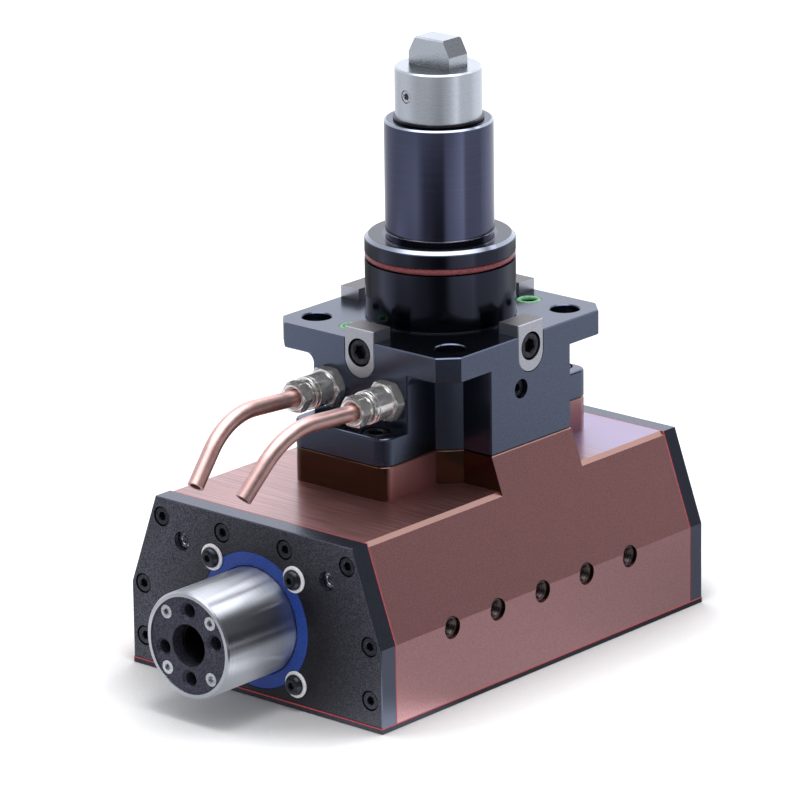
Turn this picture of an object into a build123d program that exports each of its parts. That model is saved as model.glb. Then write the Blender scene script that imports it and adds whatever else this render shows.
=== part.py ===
# Right-angle live tool holder: a vertical input shaft in a 55 mm shank drives,
# through a pair of bevel gears, a horizontal spindle carried in the housing.
# Frame: origin on the shank axis at the underside of the base plate, +Z up the
# shank, the spindle nose towards -Y.  All lengths are millimetres.
import os
from math import cos, pi, radians, sin, sqrt, tan
from build123d import *

os.makedirs("parts", exist_ok=True)

# Room between pieces
fit_gap = 0.02
running_gap = 0.10
screw_gap = 0.25
face_gap = 0.1
ring_groove_gap = 0.2
cut_overrun = 1.0

# Base plate and the sealing sheets
base_plate_thickness = 1.6
gasket_thickness = 0.4

# Housing: rises above the spindle axis, half widths in X, distances from the shank axis in Y
seal_floor = 1.8
shoulder_rise = 1.8
shelf_rise = 36.8
housing_half_width = 60.0
housing_front = 95.3
housing_rear = 70.3
front_cover_thickness = 7.5
rear_cover_thickness = 7.0
shelf_chamfer = 1.4
pedestal_chamfer = 0.8
edge_chamfer = 0.6
cover_chamfer = 0.35

# Adapter block
flange_half_x = 42.6
flange_half_y = 45.0
flange_thickness = 9.4
flange_corner_chamfer = 6.5
flange_chamfer = 0.4
arm_half_width = 22.5
arm_chamfer = 0.5
arm_fillet = 3.5
core_bolt_gap = 2.55
foot_step = 12.6
foot_height = 10.2
foot_corner_radius = 5.0
foot_edge_radius = 0.9
bolt_spacing = 64.0
bolt_hole_radius = 5.5
bolt_hole_chamfer = 0.4
shaft_bore_radius = 11.0
spigot_length = 4.7
collar_side_gap = 1.9
collar_headroom = 5.0

# Shank and its sleeve
shank_radius = 27.5
shank_length = 30.4
shank_chamfer = 1.5
shank_foot_depth = 0.5
shank_foot_relief = 0.3
shank_spigot_radius = 20.0
shank_spigot_length = 15.4
shank_ring_height = 22.8
shank_ring_section = 2.5
sleeve_radius = 19.85
sleeve_length = 42.8
sleeve_groove_width = 1.4
sleeve_groove_depth = 0.5

# Drive coupling
coupling_radius = 15.75
coupling_height = 18.5
coupling_gap = 1.0
coupling_neck_radius = 11.0
coupling_cap = 5.0
coupling_screw_radius = 2.4
coupling_screw_drop = 9.1
coupling_screw_angle = -97.5
coupling_screw_sink = 0.3
coupling_screw_socket = 2.1
dust_ring_radius = 16.5
dust_ring_gap = 0.2
input_seal_gap = 0.5
tang_half_width = 9.6
tang_half_thickness = 5.0
tang_land = 4.7
tang_height = 10.6
tang_top_half_width = 6.4
tang_chamfer = 0.6

# Spindle, as distances from the shank axis towards the nose
nose_length = 34.8
nose_radius = 19.75
nose_rim = 1.9
nose_step_depth = 2.0
nose_step_length = 1.0
nose_clearance = 0.5
nose_plate_thickness = 5.0
nose_plate_recess = 0.5
nose_bore_radius = 7.8
spindle_bore_radius = 6.5
spindle_bore_depth = 30.0
drive_hole_inset = 5.15
drive_hole_angles = (90, 15, 270, 195)
drive_hole_radius = 2.5
drive_hole_depth = 13.0
drive_hole_mouth = 3.5
nose_screw_inset = 3.15
nose_screw_head_radius = 2.6
nose_screw_radius = 1.5
nose_screw_length = 12.0
gear_shoulder = 38.0
gear_seat_radius = 12.0
gear_shoulder_step = 2.0
spindle_overhang = 0.5
nut_thickness = 7.0
nut_slot_width = 4.0
nut_slot_depth = 1.5
front_nut_radius = 19.5
rear_nut_radius = 15.0
spacer_radius = 12.2

# Blue sealing ring and the screws that clamp it
seal_ring_radius = 25.4
seal_ring_thickness = 5.8
seal_screw_outset = 2.4
seal_screw_length = 6.5
washer_radius = 4.9
washer_thickness = 0.8
button_head_radius = 3.8
button_head_height = 2.3
button_top_radius = 2.75
button_socket = 2.5

# Ball bearings: bore radius, outer radius, width, and the seats around them
front_bearing_bore = 15.0
front_bearing_outer = 23.5
front_bearing_width = 9.0
rear_bearing_bore = 10.0
rear_bearing_outer = 21.0
rear_bearing_width = 12.0
rear_bearing_inset = 8.3
rear_spigot_wall = 3.5
rear_cover_floor = 4.0
front_spigot_length = 3.3
lower_bearing_bore = 12.5
lower_bearing_outer = 21.0
lower_bearing_width = 9.0
upper_bearing_bore = 8.5
upper_bearing_outer = 15.0
upper_bearing_width = 7.0
upper_bearing_depth = 12.6
bearing_shoulder = 2.5
bearing_ledge = 2.0
bearing_pair_gap = 0.1
ball_share = 0.31
ball_pitch_share = 2.5
land_share = 0.45
race_gap = 0.15
cage_thickness = 1.3
cage_width_share = 0.78

# Bevel gears: equal, with shafts at a right angle
gear_teeth = 20
gear_pitch_radius = 20.0
gear_face_width = 8.0
gear_backlash = 0.45
gear_front_land = 0.6
gear_back_land = 1.0
tooth_sink = 0.4
tip_relief = 0.15
gear_hub_radius = 17.0
pinion_hub_radius = 15.0
pinion_hub_length = 4.032
pinion_web = 3.8
pressure_angle = 20.0
gear_clearance = 2.0
pinion_clearance = 1.2
chamber_extra = 7.0
window_margin = 3.0

# Input shaft
shaft_collar_radius = 15.2
shaft_collar_thickness = 2.9
shaft_radius = 10.0
pinion_seat_radius = 8.0
key_stock_width = 4.0
key_stock_height = 4.0
key_stock_sink = 0.5
gear_key_inset = 3.5
pinion_key_inset = 1.0
pinion_screw_length = 16.0

# Cover screws, M4: a row of four under the shelf and two down each side
cover_row_drop = 7.2
cover_corner_inset = 2.9
cover_row_middle_x = 15.0
cover_side_inset = 5.7
cover_side_rises = (2.1, -17.9)
m4_radius = 2.0
m4_head_radius = 3.5
m4_head_height = 4.0
m4_socket = 3.0
cover_screw_length = 12.0
cover_screw_sink = 0.3
plug_screw_x = 34.8
plug_screw_drop = 14.6
plug_hole_radius = 3.5
plug_screw_length = 5.0
plug_screw_sink = 1.5

# Base plate screws, countersunk M3
base_screw_rows = 5
base_screw_end_inset = 7.8
base_screw_side_inset = 10.0
m3_radius = 1.5
m3_head_radius = 2.9
m3_socket = 2.0
base_screw_length = 5.5

# Threaded inserts in the sides
insert_count = 5
insert_pitch = 25.0
insert_row_middle = 15.0
insert_radius = 4.1
insert_bore_radius = 2.65
insert_length = 12.0
insert_sink = 1.1

# Location keys and their M6 screws
key_width = 14.0
key_depth = 9.0
key_drop = 14.2
key_rise = 4.3
key_slot_gap = 0.1
key_chamfer = 0.3
key_screw_drop = 4.6
m6_radius = 3.0
m6_head_radius = 5.0
m6_head_height = 6.0
m6_socket = 5.0
m6_counterbore_radius = 5.3
socket_share = 0.5
key_screw_length = 14.0
key_screw_sink = 0.4
adapter_screw_x = 13.0
adapter_screw_length = 16.0
thread_runout = 1.0

# Coolant passages and fittings
coolant_port_y = 33.0
channel_radius = 2.0
channel_wall = 1.1
port_radius = 2.3
side_channel_radius = 1.6
channel_overrun = 0.5
port_ring_radius = 4.7
port_ring_section = 1.8
port_ring_sink = 1.5
side_plug_y = -5.6
side_plug_radius = 3.6
side_plug_length = 5.0
side_plug_sink = 0.8
fitting_thread_radius = 4.9
fitting_thread_length = 9.0
fitting_floor = 4.05
fitting_headroom = 3.25
fitting_hex = 13.5
fitting_hex_thickness = 4.0
fitting_body_radius = 6.2
fitting_body_length = 9.7
nut_hex = 10.6
nut_neck_radius = 4.7
nut_neck_length = 2.4
nut_hex_thickness = 4.3
nut_stem_length = 5.0
nut_mouth = 0.9
pipe_socket_floor = 1.0
pipe_radius = 3.0
pipe_bore_radius = 2.0
pipe_straight = 34.6
pipe_rise = 2.1
pipe_kink = 2.6
pipe_kink_radius = 40.0
pipe_bend_radius = 31.0
pipe_drop_length = 29.1
pipe_drop_angle = 46.3
pipe_toe_angle = 7.6

# Bevel gear geometry, measured from the point where the two axes cross
gear_module = 2 * gear_pitch_radius / gear_teeth
outer_cone = gear_pitch_radius * sqrt(2)
inner_share = (outer_cone - gear_face_width) / outer_cone
addendum = 0.9 * gear_module
dedendum = 1.25 * gear_module
cone_step = 1 / sqrt(2)
root_radius = gear_pitch_radius - dedendum * cone_step
root_station = gear_pitch_radius + dedendum * cone_step
tip_radius = gear_pitch_radius + addendum * cone_step
gear_front = root_station * inner_share - gear_front_land
gear_back = root_station + gear_back_land
chamber_radius = tip_radius + gear_clearance
pinion_chamber_radius = tip_radius + pinion_clearance
chamber_front = gear_shoulder + chamber_extra
chamber_rear = -chamber_radius

# Heights: the seal ring clears the base plate, the pinion and its bearings stand on the gear,
# and the coolant fittings fit between the adapter's feet and its flange
body_bottom = base_plate_thickness + gasket_thickness
spindle_height = body_bottom + seal_ring_radius + seal_floor
shoulder_height = spindle_height + shoulder_rise
shelf_height = spindle_height + shelf_rise
lower_bearing_height = spindle_height + gear_back + pinion_hub_length
lower_bearing_top = lower_bearing_height + 2 * lower_bearing_width + bearing_pair_gap
pedestal_height = lower_bearing_top + ring_groove_gap + spigot_length
foot_top = pedestal_height + foot_height
coolant_height = foot_top + fitting_floor + fitting_hex / 2
flange_underside = coolant_height + fitting_hex / 2 + fitting_headroom
flange_top = flange_underside + flange_thickness

# Worked-out stations
side_slope = (housing_half_width - flange_half_x) / (pedestal_height - shoulder_height)
shelf_half_width = housing_half_width - side_slope * (shelf_height - shoulder_height)
front_face = housing_front + gasket_thickness + front_cover_thickness
rear_face = housing_rear + gasket_thickness + rear_cover_thickness
shank_top = flange_top + shank_length
sleeve_top = shank_top + sleeve_length
coupling_bottom = sleeve_top + coupling_gap
coupling_top = coupling_bottom + coupling_height
foot_reach = flange_half_y + foot_step
core_radius = bolt_spacing / sqrt(2) - bolt_hole_radius - core_bolt_gap
coolant_x = shaft_bore_radius + channel_radius + channel_wall
key_bottom = flange_top - key_drop
key_top = flange_top + key_rise
key_screw_height = flange_top - key_screw_drop
nose_face = front_face + nose_length
nose_plate_radius = nose_radius - nose_rim
seal_screw_circle = seal_ring_radius + seal_screw_outset
nose_plate_face = nose_face - nose_plate_recess
nose_pocket = nose_plate_face - nose_plate_thickness
key_slot_depth = key_depth + key_slot_gap

# Bearing seats
front_pair_length = 2 * front_bearing_width + bearing_pair_gap
front_bearing_face = housing_front - front_spigot_length
front_seat_end = front_bearing_face - front_pair_length
rear_bearing_face = housing_rear - rear_bearing_inset
rear_bearing_start = rear_bearing_face - rear_bearing_width
collar_bottom = lower_bearing_top
collar_top = collar_bottom + shaft_collar_thickness
upper_bearing_height = sleeve_top - upper_bearing_depth
upper_bearing_top = upper_bearing_height + upper_bearing_width
pinion_front = spindle_height + gear_front

# Planes and axes.  A spindle station counts from the shank axis towards the nose.
spindle_section = Plane(origin=(0, 0, spindle_height), x_dir=(0, -1, 0), z_dir=(-1, 0, 0))
spindle_axis = Axis((0, 0, spindle_height), (0, -1, 0))
input_section = Plane(origin=(0, 0, 0), x_dir=(0, 0, 1), z_dir=(0, 1, 0))
front_plane = Plane.XZ.offset(front_face)
rear_plane = Plane(origin=(0, rear_face, 0), x_dir=(-1, 0, 0), z_dir=(0, 1, 0))
side_planes = [Plane(origin=(housing_half_width, 0, 0), x_dir=(0, 1, 0), z_dir=(1, 0, 0)),
               Plane(origin=(-housing_half_width, 0, 0), x_dir=(0, -1, 0), z_dir=(-1, 0, 0))]
key_planes = [Plane(origin=(0, -flange_half_y, 0), x_dir=(1, 0, 0), z_dir=(0, -1, 0)),
              Plane(origin=(flange_half_x, 0, 0), x_dir=(0, 1, 0), z_dir=(1, 0, 0)),
              Plane(origin=(0, flange_half_y, 0), x_dir=(-1, 0, 0), z_dir=(0, 1, 0)),
              Plane(origin=(-flange_half_x, 0, 0), x_dir=(0, -1, 0), z_dir=(-1, 0, 0))]
side_face = key_planes[1]


def spindle_plane(station):
    return Plane(origin=(0, -station, spindle_height), x_dir=(1, 0, 0), z_dir=(0, -1, 0))


def turn(section, axis, outline, mode=Mode.ADD):
    # Outline points are (station along the axis, radius).
    with BuildSketch(section) as profile:
        with BuildLine():
            Polyline(*outline, close=True)
        make_face()
    revolve(profile.sketch, axis=axis, mode=mode)


def end_outline():
    # Cross-section of the housing and its covers, as (x, height).
    right = [(housing_half_width, body_bottom), (housing_half_width, shoulder_height),
             (shelf_half_width, shelf_height)]
    left = [(-x, z) for x, z in reversed(right)]
    return right + left


def circle_places(radius, angles):
    return [(radius * cos(radians(a)), radius * sin(radians(a))) for a in angles]


def keep(piece, name):
    piece.part.label = name
    export_step(piece.part, f"parts/{name}.step")


def lifted(places, height):
    return [(x, y, height) for x, y in places]


def socket_screws(bases, places, radius, length, head_radius, head_height, socket):
    # Cap screws seated with the underside of the head on each base plane.
    with BuildPart(*bases) as screws:
        with Locations(*lifted(places, head_height / 2)):
            Cylinder(head_radius, head_height)
        with Locations(*lifted(places, -length / 2)):
            Cylinder(radius, length)
        with BuildSketch(*[base.offset(head_height) for base in bases]):
            with Locations(*places):
                RegularPolygon(socket / 2, 6, major_radius=False)
        extrude(amount=-head_height * socket_share, mode=Mode.SUBTRACT)
    return screws


def set_screws(bases, places, radius, length, socket):
    # Headless screws whose outer face lies on each base plane.
    with BuildPart(*bases) as screws:
        with Locations(*lifted(places, -length / 2)):
            Cylinder(radius, length)
        with BuildSketch(*bases):
            with Locations(*places):
                RegularPolygon(socket / 2, 6, major_radius=False)
        extrude(amount=-length * socket_share, mode=Mode.SUBTRACT)
    return screws


def countersunk_screws(base, places, radius, length, head_radius, socket):
    # Flat-headed screws, 90 degree cone, whose head face lies on the base plane.
    head_height = head_radius - radius
    with BuildPart(base) as screws:
        with Locations(*lifted(places, -head_height / 2)):
            Cone(radius, head_radius, head_height)
        with Locations(*lifted(places, -length / 2)):
            Cylinder(radius, length)
        with BuildSketch(base):
            with Locations(*places):
                RegularPolygon(socket / 2, 6, major_radius=False)
        extrude(amount=-head_height * socket_share, mode=Mode.SUBTRACT)
    return screws


def ball_bearings(middles, width, bore, outer, name):
    # Deep-groove bearings, one on each of the middle planes.
    pitch = (bore + outer) / 2
    ball = ball_share * (outer - bore)
    count = int(2 * pi * pitch / (ball_pitch_share * ball))
    land = land_share * ball
    with BuildPart(*middles) as outer_rings:
        Cylinder(outer, width)
        Cylinder(pitch + land, width, mode=Mode.SUBTRACT)
        Torus(pitch, ball + race_gap, mode=Mode.SUBTRACT)
    keep(outer_rings, f"{name}_outer_ring")
    with BuildPart(*middles) as inner_rings:
        Cylinder(pitch - land, width)
        Cylinder(bore, width, mode=Mode.SUBTRACT)
        Torus(pitch, ball + race_gap, mode=Mode.SUBTRACT)
    keep(inner_rings, f"{name}_inner_ring")
    with BuildPart(*middles) as balls:
        with PolarLocations(pitch, count):
            Sphere(ball)
    keep(balls, f"{name}_balls")
    with BuildPart(*middles) as cages:
        Cylinder(pitch + cage_thickness / 2, cage_width_share * width)
        Cylinder(pitch - cage_thickness / 2, cage_width_share * width, mode=Mode.SUBTRACT)
        with PolarLocations(pitch, count):
            Cylinder(ball + race_gap, outer - bore, rotation=(0, 90, 0), mode=Mode.SUBTRACT)
    keep(cages, f"{name}_cage")


def bevel_gear(bore, hub_radius, hub_end, phase):
    # Straight bevel gear about Z with its pitch cone's point at the origin.
    slope = tan(radians(pressure_angle))
    half_width = pi * gear_module / 4 - gear_backlash / 2
    sunk = dedendum + tooth_sink
    tip_half = half_width - addendum * slope - tip_relief
    right = [(tip_half, addendum), (half_width, 0), (half_width + sunk * slope, -sunk)]
    outline = [(-x, y) for x, y in reversed(right)] + right
    with BuildPart() as tooth:
        for share in (inner_share, 1):
            corner = gear_pitch_radius * share
            with BuildSketch(Plane(origin=(corner, 0, corner), x_dir=(0, -1, 0), z_dir=(1, 0, 1))):
                with BuildLine():
                    Polyline(*[(x * share, y * share) for x, y in outline], close=True)
                make_face()
        loft(ruled=True)
    with BuildPart() as gear:
        front_radius = root_radius * inner_share - gear_front_land
        turn(input_section, Axis.Z,
             [(gear_front, bore), (gear_front, front_radius),
              (root_station * inner_share, root_radius * inner_share),
              (root_station, root_radius), (gear_back, hub_radius), (hub_end, hub_radius),
              (hub_end, bore)])
        with PolarLocations(0, gear_teeth, start_angle=phase):
            add(tooth.part)
    return gear


def drill(bases, places, radius, depth):
    with BuildSketch(*bases) as holes:
        with Locations(*places):
            Circle(radius)
    extrude(holes.sketch, amount=-depth, mode=Mode.SUBTRACT)


def countersink(base, places, radius, mouth):
    # 90 degree cone from the hole's radius out to the mouth on the base plane.
    depth = mouth - radius
    with Locations(base.location):
        with Locations(*lifted(places, -depth / 2)):
            Cone(radius, mouth, depth, mode=Mode.SUBTRACT)


def keyway(place, size):
    with Locations(place):
        Box(*[side + 2 * fit_gap for side in size], mode=Mode.SUBTRACT)


def key_shape(planes, top, grow, depth, mode=Mode.ADD):
    # Upright key with a round lower end, drawn on each plane and sunk into it.
    middle = key_bottom + key_width / 2
    with BuildSketch(*planes) as shape:
        with Locations((0, middle)):
            Circle(key_width / 2 + grow)
        with Locations((0, (middle + top) / 2)):
            Rectangle(key_width + 2 * grow, top - middle)
    extrude(shape.sketch, amount=-depth, mode=mode)


def end_sheet(station, thickness):
    # A plate of the end outline, from the station towards the nose.
    with BuildSketch(Plane.XZ.offset(station)) as sheet:
        with BuildLine():
            Polyline(*end_outline(), close=True)
        make_face()
    extrude(sheet.sketch, amount=thickness)


# Places shared by several pieces
corner_angles = (45, 135, 225, 315)
seal_screw_places = circle_places(seal_screw_circle, corner_angles)
nose_screw_places = circle_places(nose_plate_radius - nose_screw_inset, corner_angles)
drive_hole_places = circle_places(nose_plate_radius - drive_hole_inset, drive_hole_angles)
cover_row_height = shelf_height - cover_row_drop
cover_row = (shelf_half_width - cover_corner_inset, cover_row_middle_x)
cover_side_x = housing_half_width - cover_side_inset
cover_screw_places = ([(side * x, cover_row_height) for side in (-1, 1) for x in cover_row]
                      + [(side * cover_side_x, spindle_height + rise)
                         for side in (-1, 1) for rise in cover_side_rises])
plug_screw_places = [(side * plug_screw_x, shelf_height - plug_screw_drop) for side in (-1, 1)]
cover_seat_sink = m4_head_height + cover_screw_sink
front_screw_base = front_plane.offset(-cover_seat_sink)
rear_screw_base = rear_plane.offset(-cover_seat_sink)
screw_reach = cover_screw_length + cover_seat_sink + thread_runout
under_plane = Plane(origin=(0, 0, 0), x_dir=(1, 0, 0), z_dir=(0, 0, -1))
base_screw_span = housing_front + housing_rear - 2 * base_screw_end_inset
base_screw_stations = [base_screw_end_inset - housing_rear + base_screw_span * i / (base_screw_rows - 1)
                       for i in range(base_screw_rows)]
base_screw_x = housing_half_width - base_screw_side_inset
base_screw_places = [(side * base_screw_x, s) for side in (-1, 1) for s in base_screw_stations]
insert_rows = [insert_row_middle + insert_pitch * (i - (insert_count - 1) / 2)
               for i in range(insert_count)]
adapter_screw_y = flange_half_y + foot_step / 2
adapter_screw_places = [(sx * adapter_screw_x, sy * adapter_screw_y)
                        for sx in (-1, 1) for sy in (-1, 1)]
bolt_places = [(sx * bolt_spacing / 2, sy * bolt_spacing / 2) for sx in (-1, 1) for sy in (-1, 1)]
fitting_places = [(side * coolant_x, coolant_height) for side in (-1, 1)]
port_places = [(-coolant_x, -coolant_port_y), (coolant_x, coolant_port_y)]
window_half_width = chamber_radius - window_margin
window_length = chamber_front - chamber_rear - 2 * window_margin
window_middle = -(chamber_front + chamber_rear) / 2
foot_plane = Plane.XY.offset(foot_top)
adapter_seat = foot_plane.offset(-m6_head_height)
key_seats = [plane.offset(-m6_head_height - key_screw_sink) for plane in key_planes]
key_screw_place = [(0, key_screw_height)]
key_thread_depth = m6_head_height + key_screw_sink + key_screw_length + thread_runout


def insert_places(side):
    # A station counts towards the nose, and the right side's plane runs the other way.
    return [(-side * s, spindle_height) for s in insert_rows]


# Housing: six-sided body with a raised cross-shaped pedestal
rear_seat = rear_bearing_outer + fit_gap
rear_neck = rear_bearing_outer - bearing_shoulder
front_seat = front_bearing_outer + fit_gap
front_neck = front_bearing_outer - bearing_shoulder
lower_seat = lower_bearing_outer + fit_gap
lower_neck = lower_bearing_outer - bearing_shoulder
with BuildPart() as housing:
    end_sheet(-housing_rear, housing_front + housing_rear)
    chamfer(housing.edges().filter_by(Axis.Y).group_by(Axis.Z)[-1], shelf_chamfer)
    with BuildSketch(Plane.XY.offset(shelf_height)):
        RectangleRounded(2 * arm_half_width, 2 * foot_reach, foot_corner_radius)
        Circle(core_radius)
    extrude(amount=pedestal_height - shelf_height)
    arm_start = shelf_height - 2 * shelf_chamfer
    arm_start_half = housing_half_width - side_slope * (arm_start - shoulder_height)
    with BuildSketch(Plane.XZ):
        Polygon((-arm_start_half, arm_start), (arm_start_half, arm_start),
                (flange_half_x, pedestal_height), (-flange_half_x, pedestal_height), align=None)
    extrude(amount=arm_half_width, both=True)
    chamfer(housing.faces().sort_by(Axis.Z)[-1].edges(), pedestal_chamfer)
    # spindle tunnel with both bearing seats and the gear chamber
    turn(spindle_section, spindle_axis,
         [(-housing_rear - cut_overrun, 0), (-housing_rear - cut_overrun, rear_seat),
          (-rear_bearing_start, rear_seat), (-rear_bearing_start, rear_neck),
          (chamber_rear, rear_neck), (chamber_rear, chamber_radius),
          (chamber_front, chamber_radius), (chamber_front, front_neck),
          (front_seat_end, front_neck), (front_seat_end, front_seat),
          (housing_front + cut_overrun, front_seat), (housing_front + cut_overrun, 0)],
         Mode.SUBTRACT)
    # upright bore for the pinion and the lower bearings
    turn(input_section, Axis.Z,
         [(spindle_height, 0), (spindle_height, pinion_chamber_radius),
          (lower_bearing_height - bearing_ledge, pinion_chamber_radius),
          (lower_bearing_height - bearing_ledge, lower_neck),
          (lower_bearing_height, lower_neck), (lower_bearing_height, lower_seat),
          (pedestal_height + cut_overrun, lower_seat), (pedestal_height + cut_overrun, 0)],
         Mode.SUBTRACT)
    with BuildSketch(Plane.XY.offset(body_bottom)):
        with Locations((0, window_middle)):
            Rectangle(2 * window_half_width, window_length)
    extrude(amount=spindle_height - body_bottom, mode=Mode.SUBTRACT)
    drill([front_plane], cover_screw_places, m4_radius + fit_gap, screw_reach)
    drill([rear_plane], cover_screw_places, m4_radius + fit_gap, screw_reach)
    drill([under_plane], base_screw_places, m3_radius + fit_gap, base_screw_length + thread_runout)
    drill([adapter_seat], adapter_screw_places, m6_radius + fit_gap,
          adapter_screw_length + thread_runout)
    for plane, side in zip(side_planes, (1, -1)):
        drill([plane], insert_places(side), insert_radius + fit_gap,
              insert_sink + insert_length + thread_runout)
keep(housing, "housing")

with BuildPart() as side_thread_inserts:
    for plane, side in zip(side_planes, (1, -1)):
        sunk_plane = plane.offset(-insert_sink)
        with BuildSketch(sunk_plane):
            with Locations(*insert_places(side)):
                Circle(insert_radius)
                Circle(insert_bore_radius, mode=Mode.SUBTRACT)
        extrude(amount=-insert_length)
keep(side_thread_inserts, "side_thread_inserts")

# End covers and their sealing sheets
nose_way = nose_radius + nose_clearance
front_spigot = front_bearing_outer - fit_gap
seal_pocket = front_face - seal_ring_thickness
with BuildPart() as front_cover:
    end_sheet(housing_front + gasket_thickness, front_cover_thickness)
    chamfer(front_cover.faces().sort_by(Axis.Y)[0].edges(), cover_chamfer)
    turn(spindle_section, spindle_axis,
         [(front_bearing_face, nose_way), (front_bearing_face, front_spigot),
          (front_face, front_spigot), (front_face, nose_way)])
    turn(spindle_section, spindle_axis,
         [(front_bearing_face, 0), (front_bearing_face, nose_way), (seal_pocket, nose_way),
          (seal_pocket, seal_ring_radius + fit_gap), (front_face, seal_ring_radius + fit_gap),
          (front_face, 0)], Mode.SUBTRACT)
    drill([front_plane], cover_screw_places, m4_radius + screw_gap, front_cover_thickness)
    drill([front_plane], cover_screw_places, m4_head_radius + screw_gap, cover_seat_sink)
    drill([front_plane], plug_screw_places, plug_hole_radius, front_cover_thickness)
    drill([spindle_plane(front_face)], seal_screw_places, m4_radius + fit_gap,
          seal_screw_length - washer_thickness + thread_runout)
keep(front_cover, "front_cover")

rear_spigot = rear_bearing_outer - fit_gap
rear_pocket = rear_spigot - rear_spigot_wall
rear_floor = rear_cover_floor - rear_face
rear_stop = -rear_bearing_face - face_gap
with BuildPart() as rear_cover:
    end_sheet(-rear_face, rear_cover_thickness)
    chamfer(rear_cover.faces().sort_by(Axis.Y)[-1].edges(), cover_chamfer)
    turn(spindle_section, spindle_axis,
         [(rear_floor, rear_pocket), (rear_floor, rear_spigot), (rear_stop, rear_spigot),
          (rear_stop, rear_pocket)])
    turn(spindle_section, spindle_axis,
         [(rear_floor, 0), (rear_floor, rear_pocket), (rear_stop, rear_pocket), (rear_stop, 0)],
         Mode.SUBTRACT)
    drill([rear_plane], cover_screw_places, m4_radius + screw_gap, rear_cover_thickness)
    drill([rear_plane], cover_screw_places, m4_head_radius + screw_gap, cover_seat_sink)
keep(rear_cover, "rear_cover")

with BuildPart() as front_gasket:
    end_sheet(housing_front, gasket_thickness)
    drill([spindle_plane(front_face)], [(0, 0)], front_bearing_outer + screw_gap,
          front_face - housing_front)
    drill([front_plane], cover_screw_places, m4_radius + screw_gap, front_face - housing_front)
keep(front_gasket, "front_gasket")

with BuildPart() as rear_gasket:
    end_sheet(-housing_rear - gasket_thickness, gasket_thickness)
    drill([spindle_plane(-housing_rear)], [(0, 0)], rear_bearing_outer + screw_gap,
          gasket_thickness)
    drill([rear_plane], cover_screw_places, m4_radius + screw_gap, rear_face - housing_rear)
keep(rear_gasket, "rear_gasket")

plate_length = front_face + rear_face
plate_middle = (rear_face - front_face) / 2
with BuildPart() as base_gasket:
    with BuildSketch(Plane.XY.offset(base_plate_thickness)):
        with Locations((0, plate_middle)):
            Rectangle(2 * housing_half_width, plate_length)
        with Locations((0, window_middle)):
            Rectangle(2 * window_half_width, window_length, mode=Mode.SUBTRACT)
    extrude(amount=gasket_thickness)
    drill([under_plane], base_screw_places, m3_radius + screw_gap, body_bottom)
keep(base_gasket, "base_gasket")

with BuildPart() as base_plate:
    with BuildSketch():
        with Locations((0, plate_middle)):
            Rectangle(2 * housing_half_width, plate_length)
    extrude(amount=base_plate_thickness)
    drill([under_plane], base_screw_places, m3_radius + screw_gap, base_plate_thickness)
    countersink(under_plane, base_screw_places, m3_radius + fit_gap, m3_head_radius + fit_gap)
keep(base_plate, "base_plate")

# Screws of the covers
keep(socket_screws([front_screw_base], cover_screw_places, m4_radius, cover_screw_length,
                   m4_head_radius, m4_head_height, m4_socket), "front_cover_screws")
keep(socket_screws([rear_screw_base], cover_screw_places, m4_radius, cover_screw_length,
                   m4_head_radius, m4_head_height, m4_socket), "rear_cover_screws")
keep(countersunk_screws(under_plane, base_screw_places, m3_radius, base_screw_length,
                        m3_head_radius, m3_socket), "base_plate_screws")
keep(set_screws([front_plane.offset(-plug_screw_sink)], plug_screw_places,
                plug_hole_radius - fit_gap, plug_screw_length, m4_socket), "front_plug_screws")

# Blue sealing ring with its clamping screws and washers
with BuildPart() as seal_ring:
    turn(spindle_section, spindle_axis,
         [(seal_pocket, nose_radius + running_gap), (seal_pocket, seal_ring_radius),
          (front_face, seal_ring_radius), (front_face, nose_radius + running_gap)])
keep(seal_ring, "seal_ring")

with BuildPart() as seal_clamp_washers:
    with BuildSketch(spindle_plane(front_face)):
        with Locations(*seal_screw_places):
            Circle(washer_radius)
            Circle(m4_radius + fit_gap, mode=Mode.SUBTRACT)
    extrude(amount=washer_thickness)
keep(seal_clamp_washers, "seal_clamp_washers")

with BuildPart(spindle_plane(front_face + washer_thickness)) as seal_clamp_screws:
    with Locations(*lifted(seal_screw_places, button_head_height / 2)):
        Cone(button_head_radius, button_top_radius, button_head_height)
    with Locations(*lifted(seal_screw_places, -seal_screw_length / 2)):
        Cylinder(m4_radius, seal_screw_length)
    with BuildSketch(spindle_plane(front_face + washer_thickness + button_head_height)):
        with Locations(*seal_screw_places):
            RegularPolygon(button_socket / 2, 6, major_radius=False)
    extrude(amount=-button_head_height * socket_share, mode=Mode.SUBTRACT)
keep(seal_clamp_screws, "seal_clamp_screws")

# Adapter block: cross-shaped column with feet below and the square flange on top
spigot_bottom = pedestal_height - spigot_length
pocket_radius = shaft_collar_radius + collar_side_gap
shank_spigot_bottom = flange_top - shank_spigot_length
shank_seat = shank_spigot_radius + fit_gap
shank_foot = flange_top - shank_foot_depth
with BuildPart() as adapter_foot:
    with BuildSketch(Plane.XY.offset(pedestal_height)):
        RectangleRounded(2 * arm_half_width, 2 * foot_reach, foot_corner_radius)
    extrude(amount=foot_height)
    fillet(adapter_foot.faces().sort_by(Axis.Z)[-1].edges(), foot_edge_radius)
with BuildPart() as adapter_flange:
    with BuildSketch(Plane.XY.offset(flange_underside)) as flange_sketch:
        Rectangle(2 * flange_half_x, 2 * flange_half_y)
        chamfer(flange_sketch.vertices(), flange_corner_chamfer)
    extrude(amount=flange_thickness)
    chamfer(adapter_flange.faces().filter_by(Axis.Z).edges(), flange_chamfer)
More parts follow.
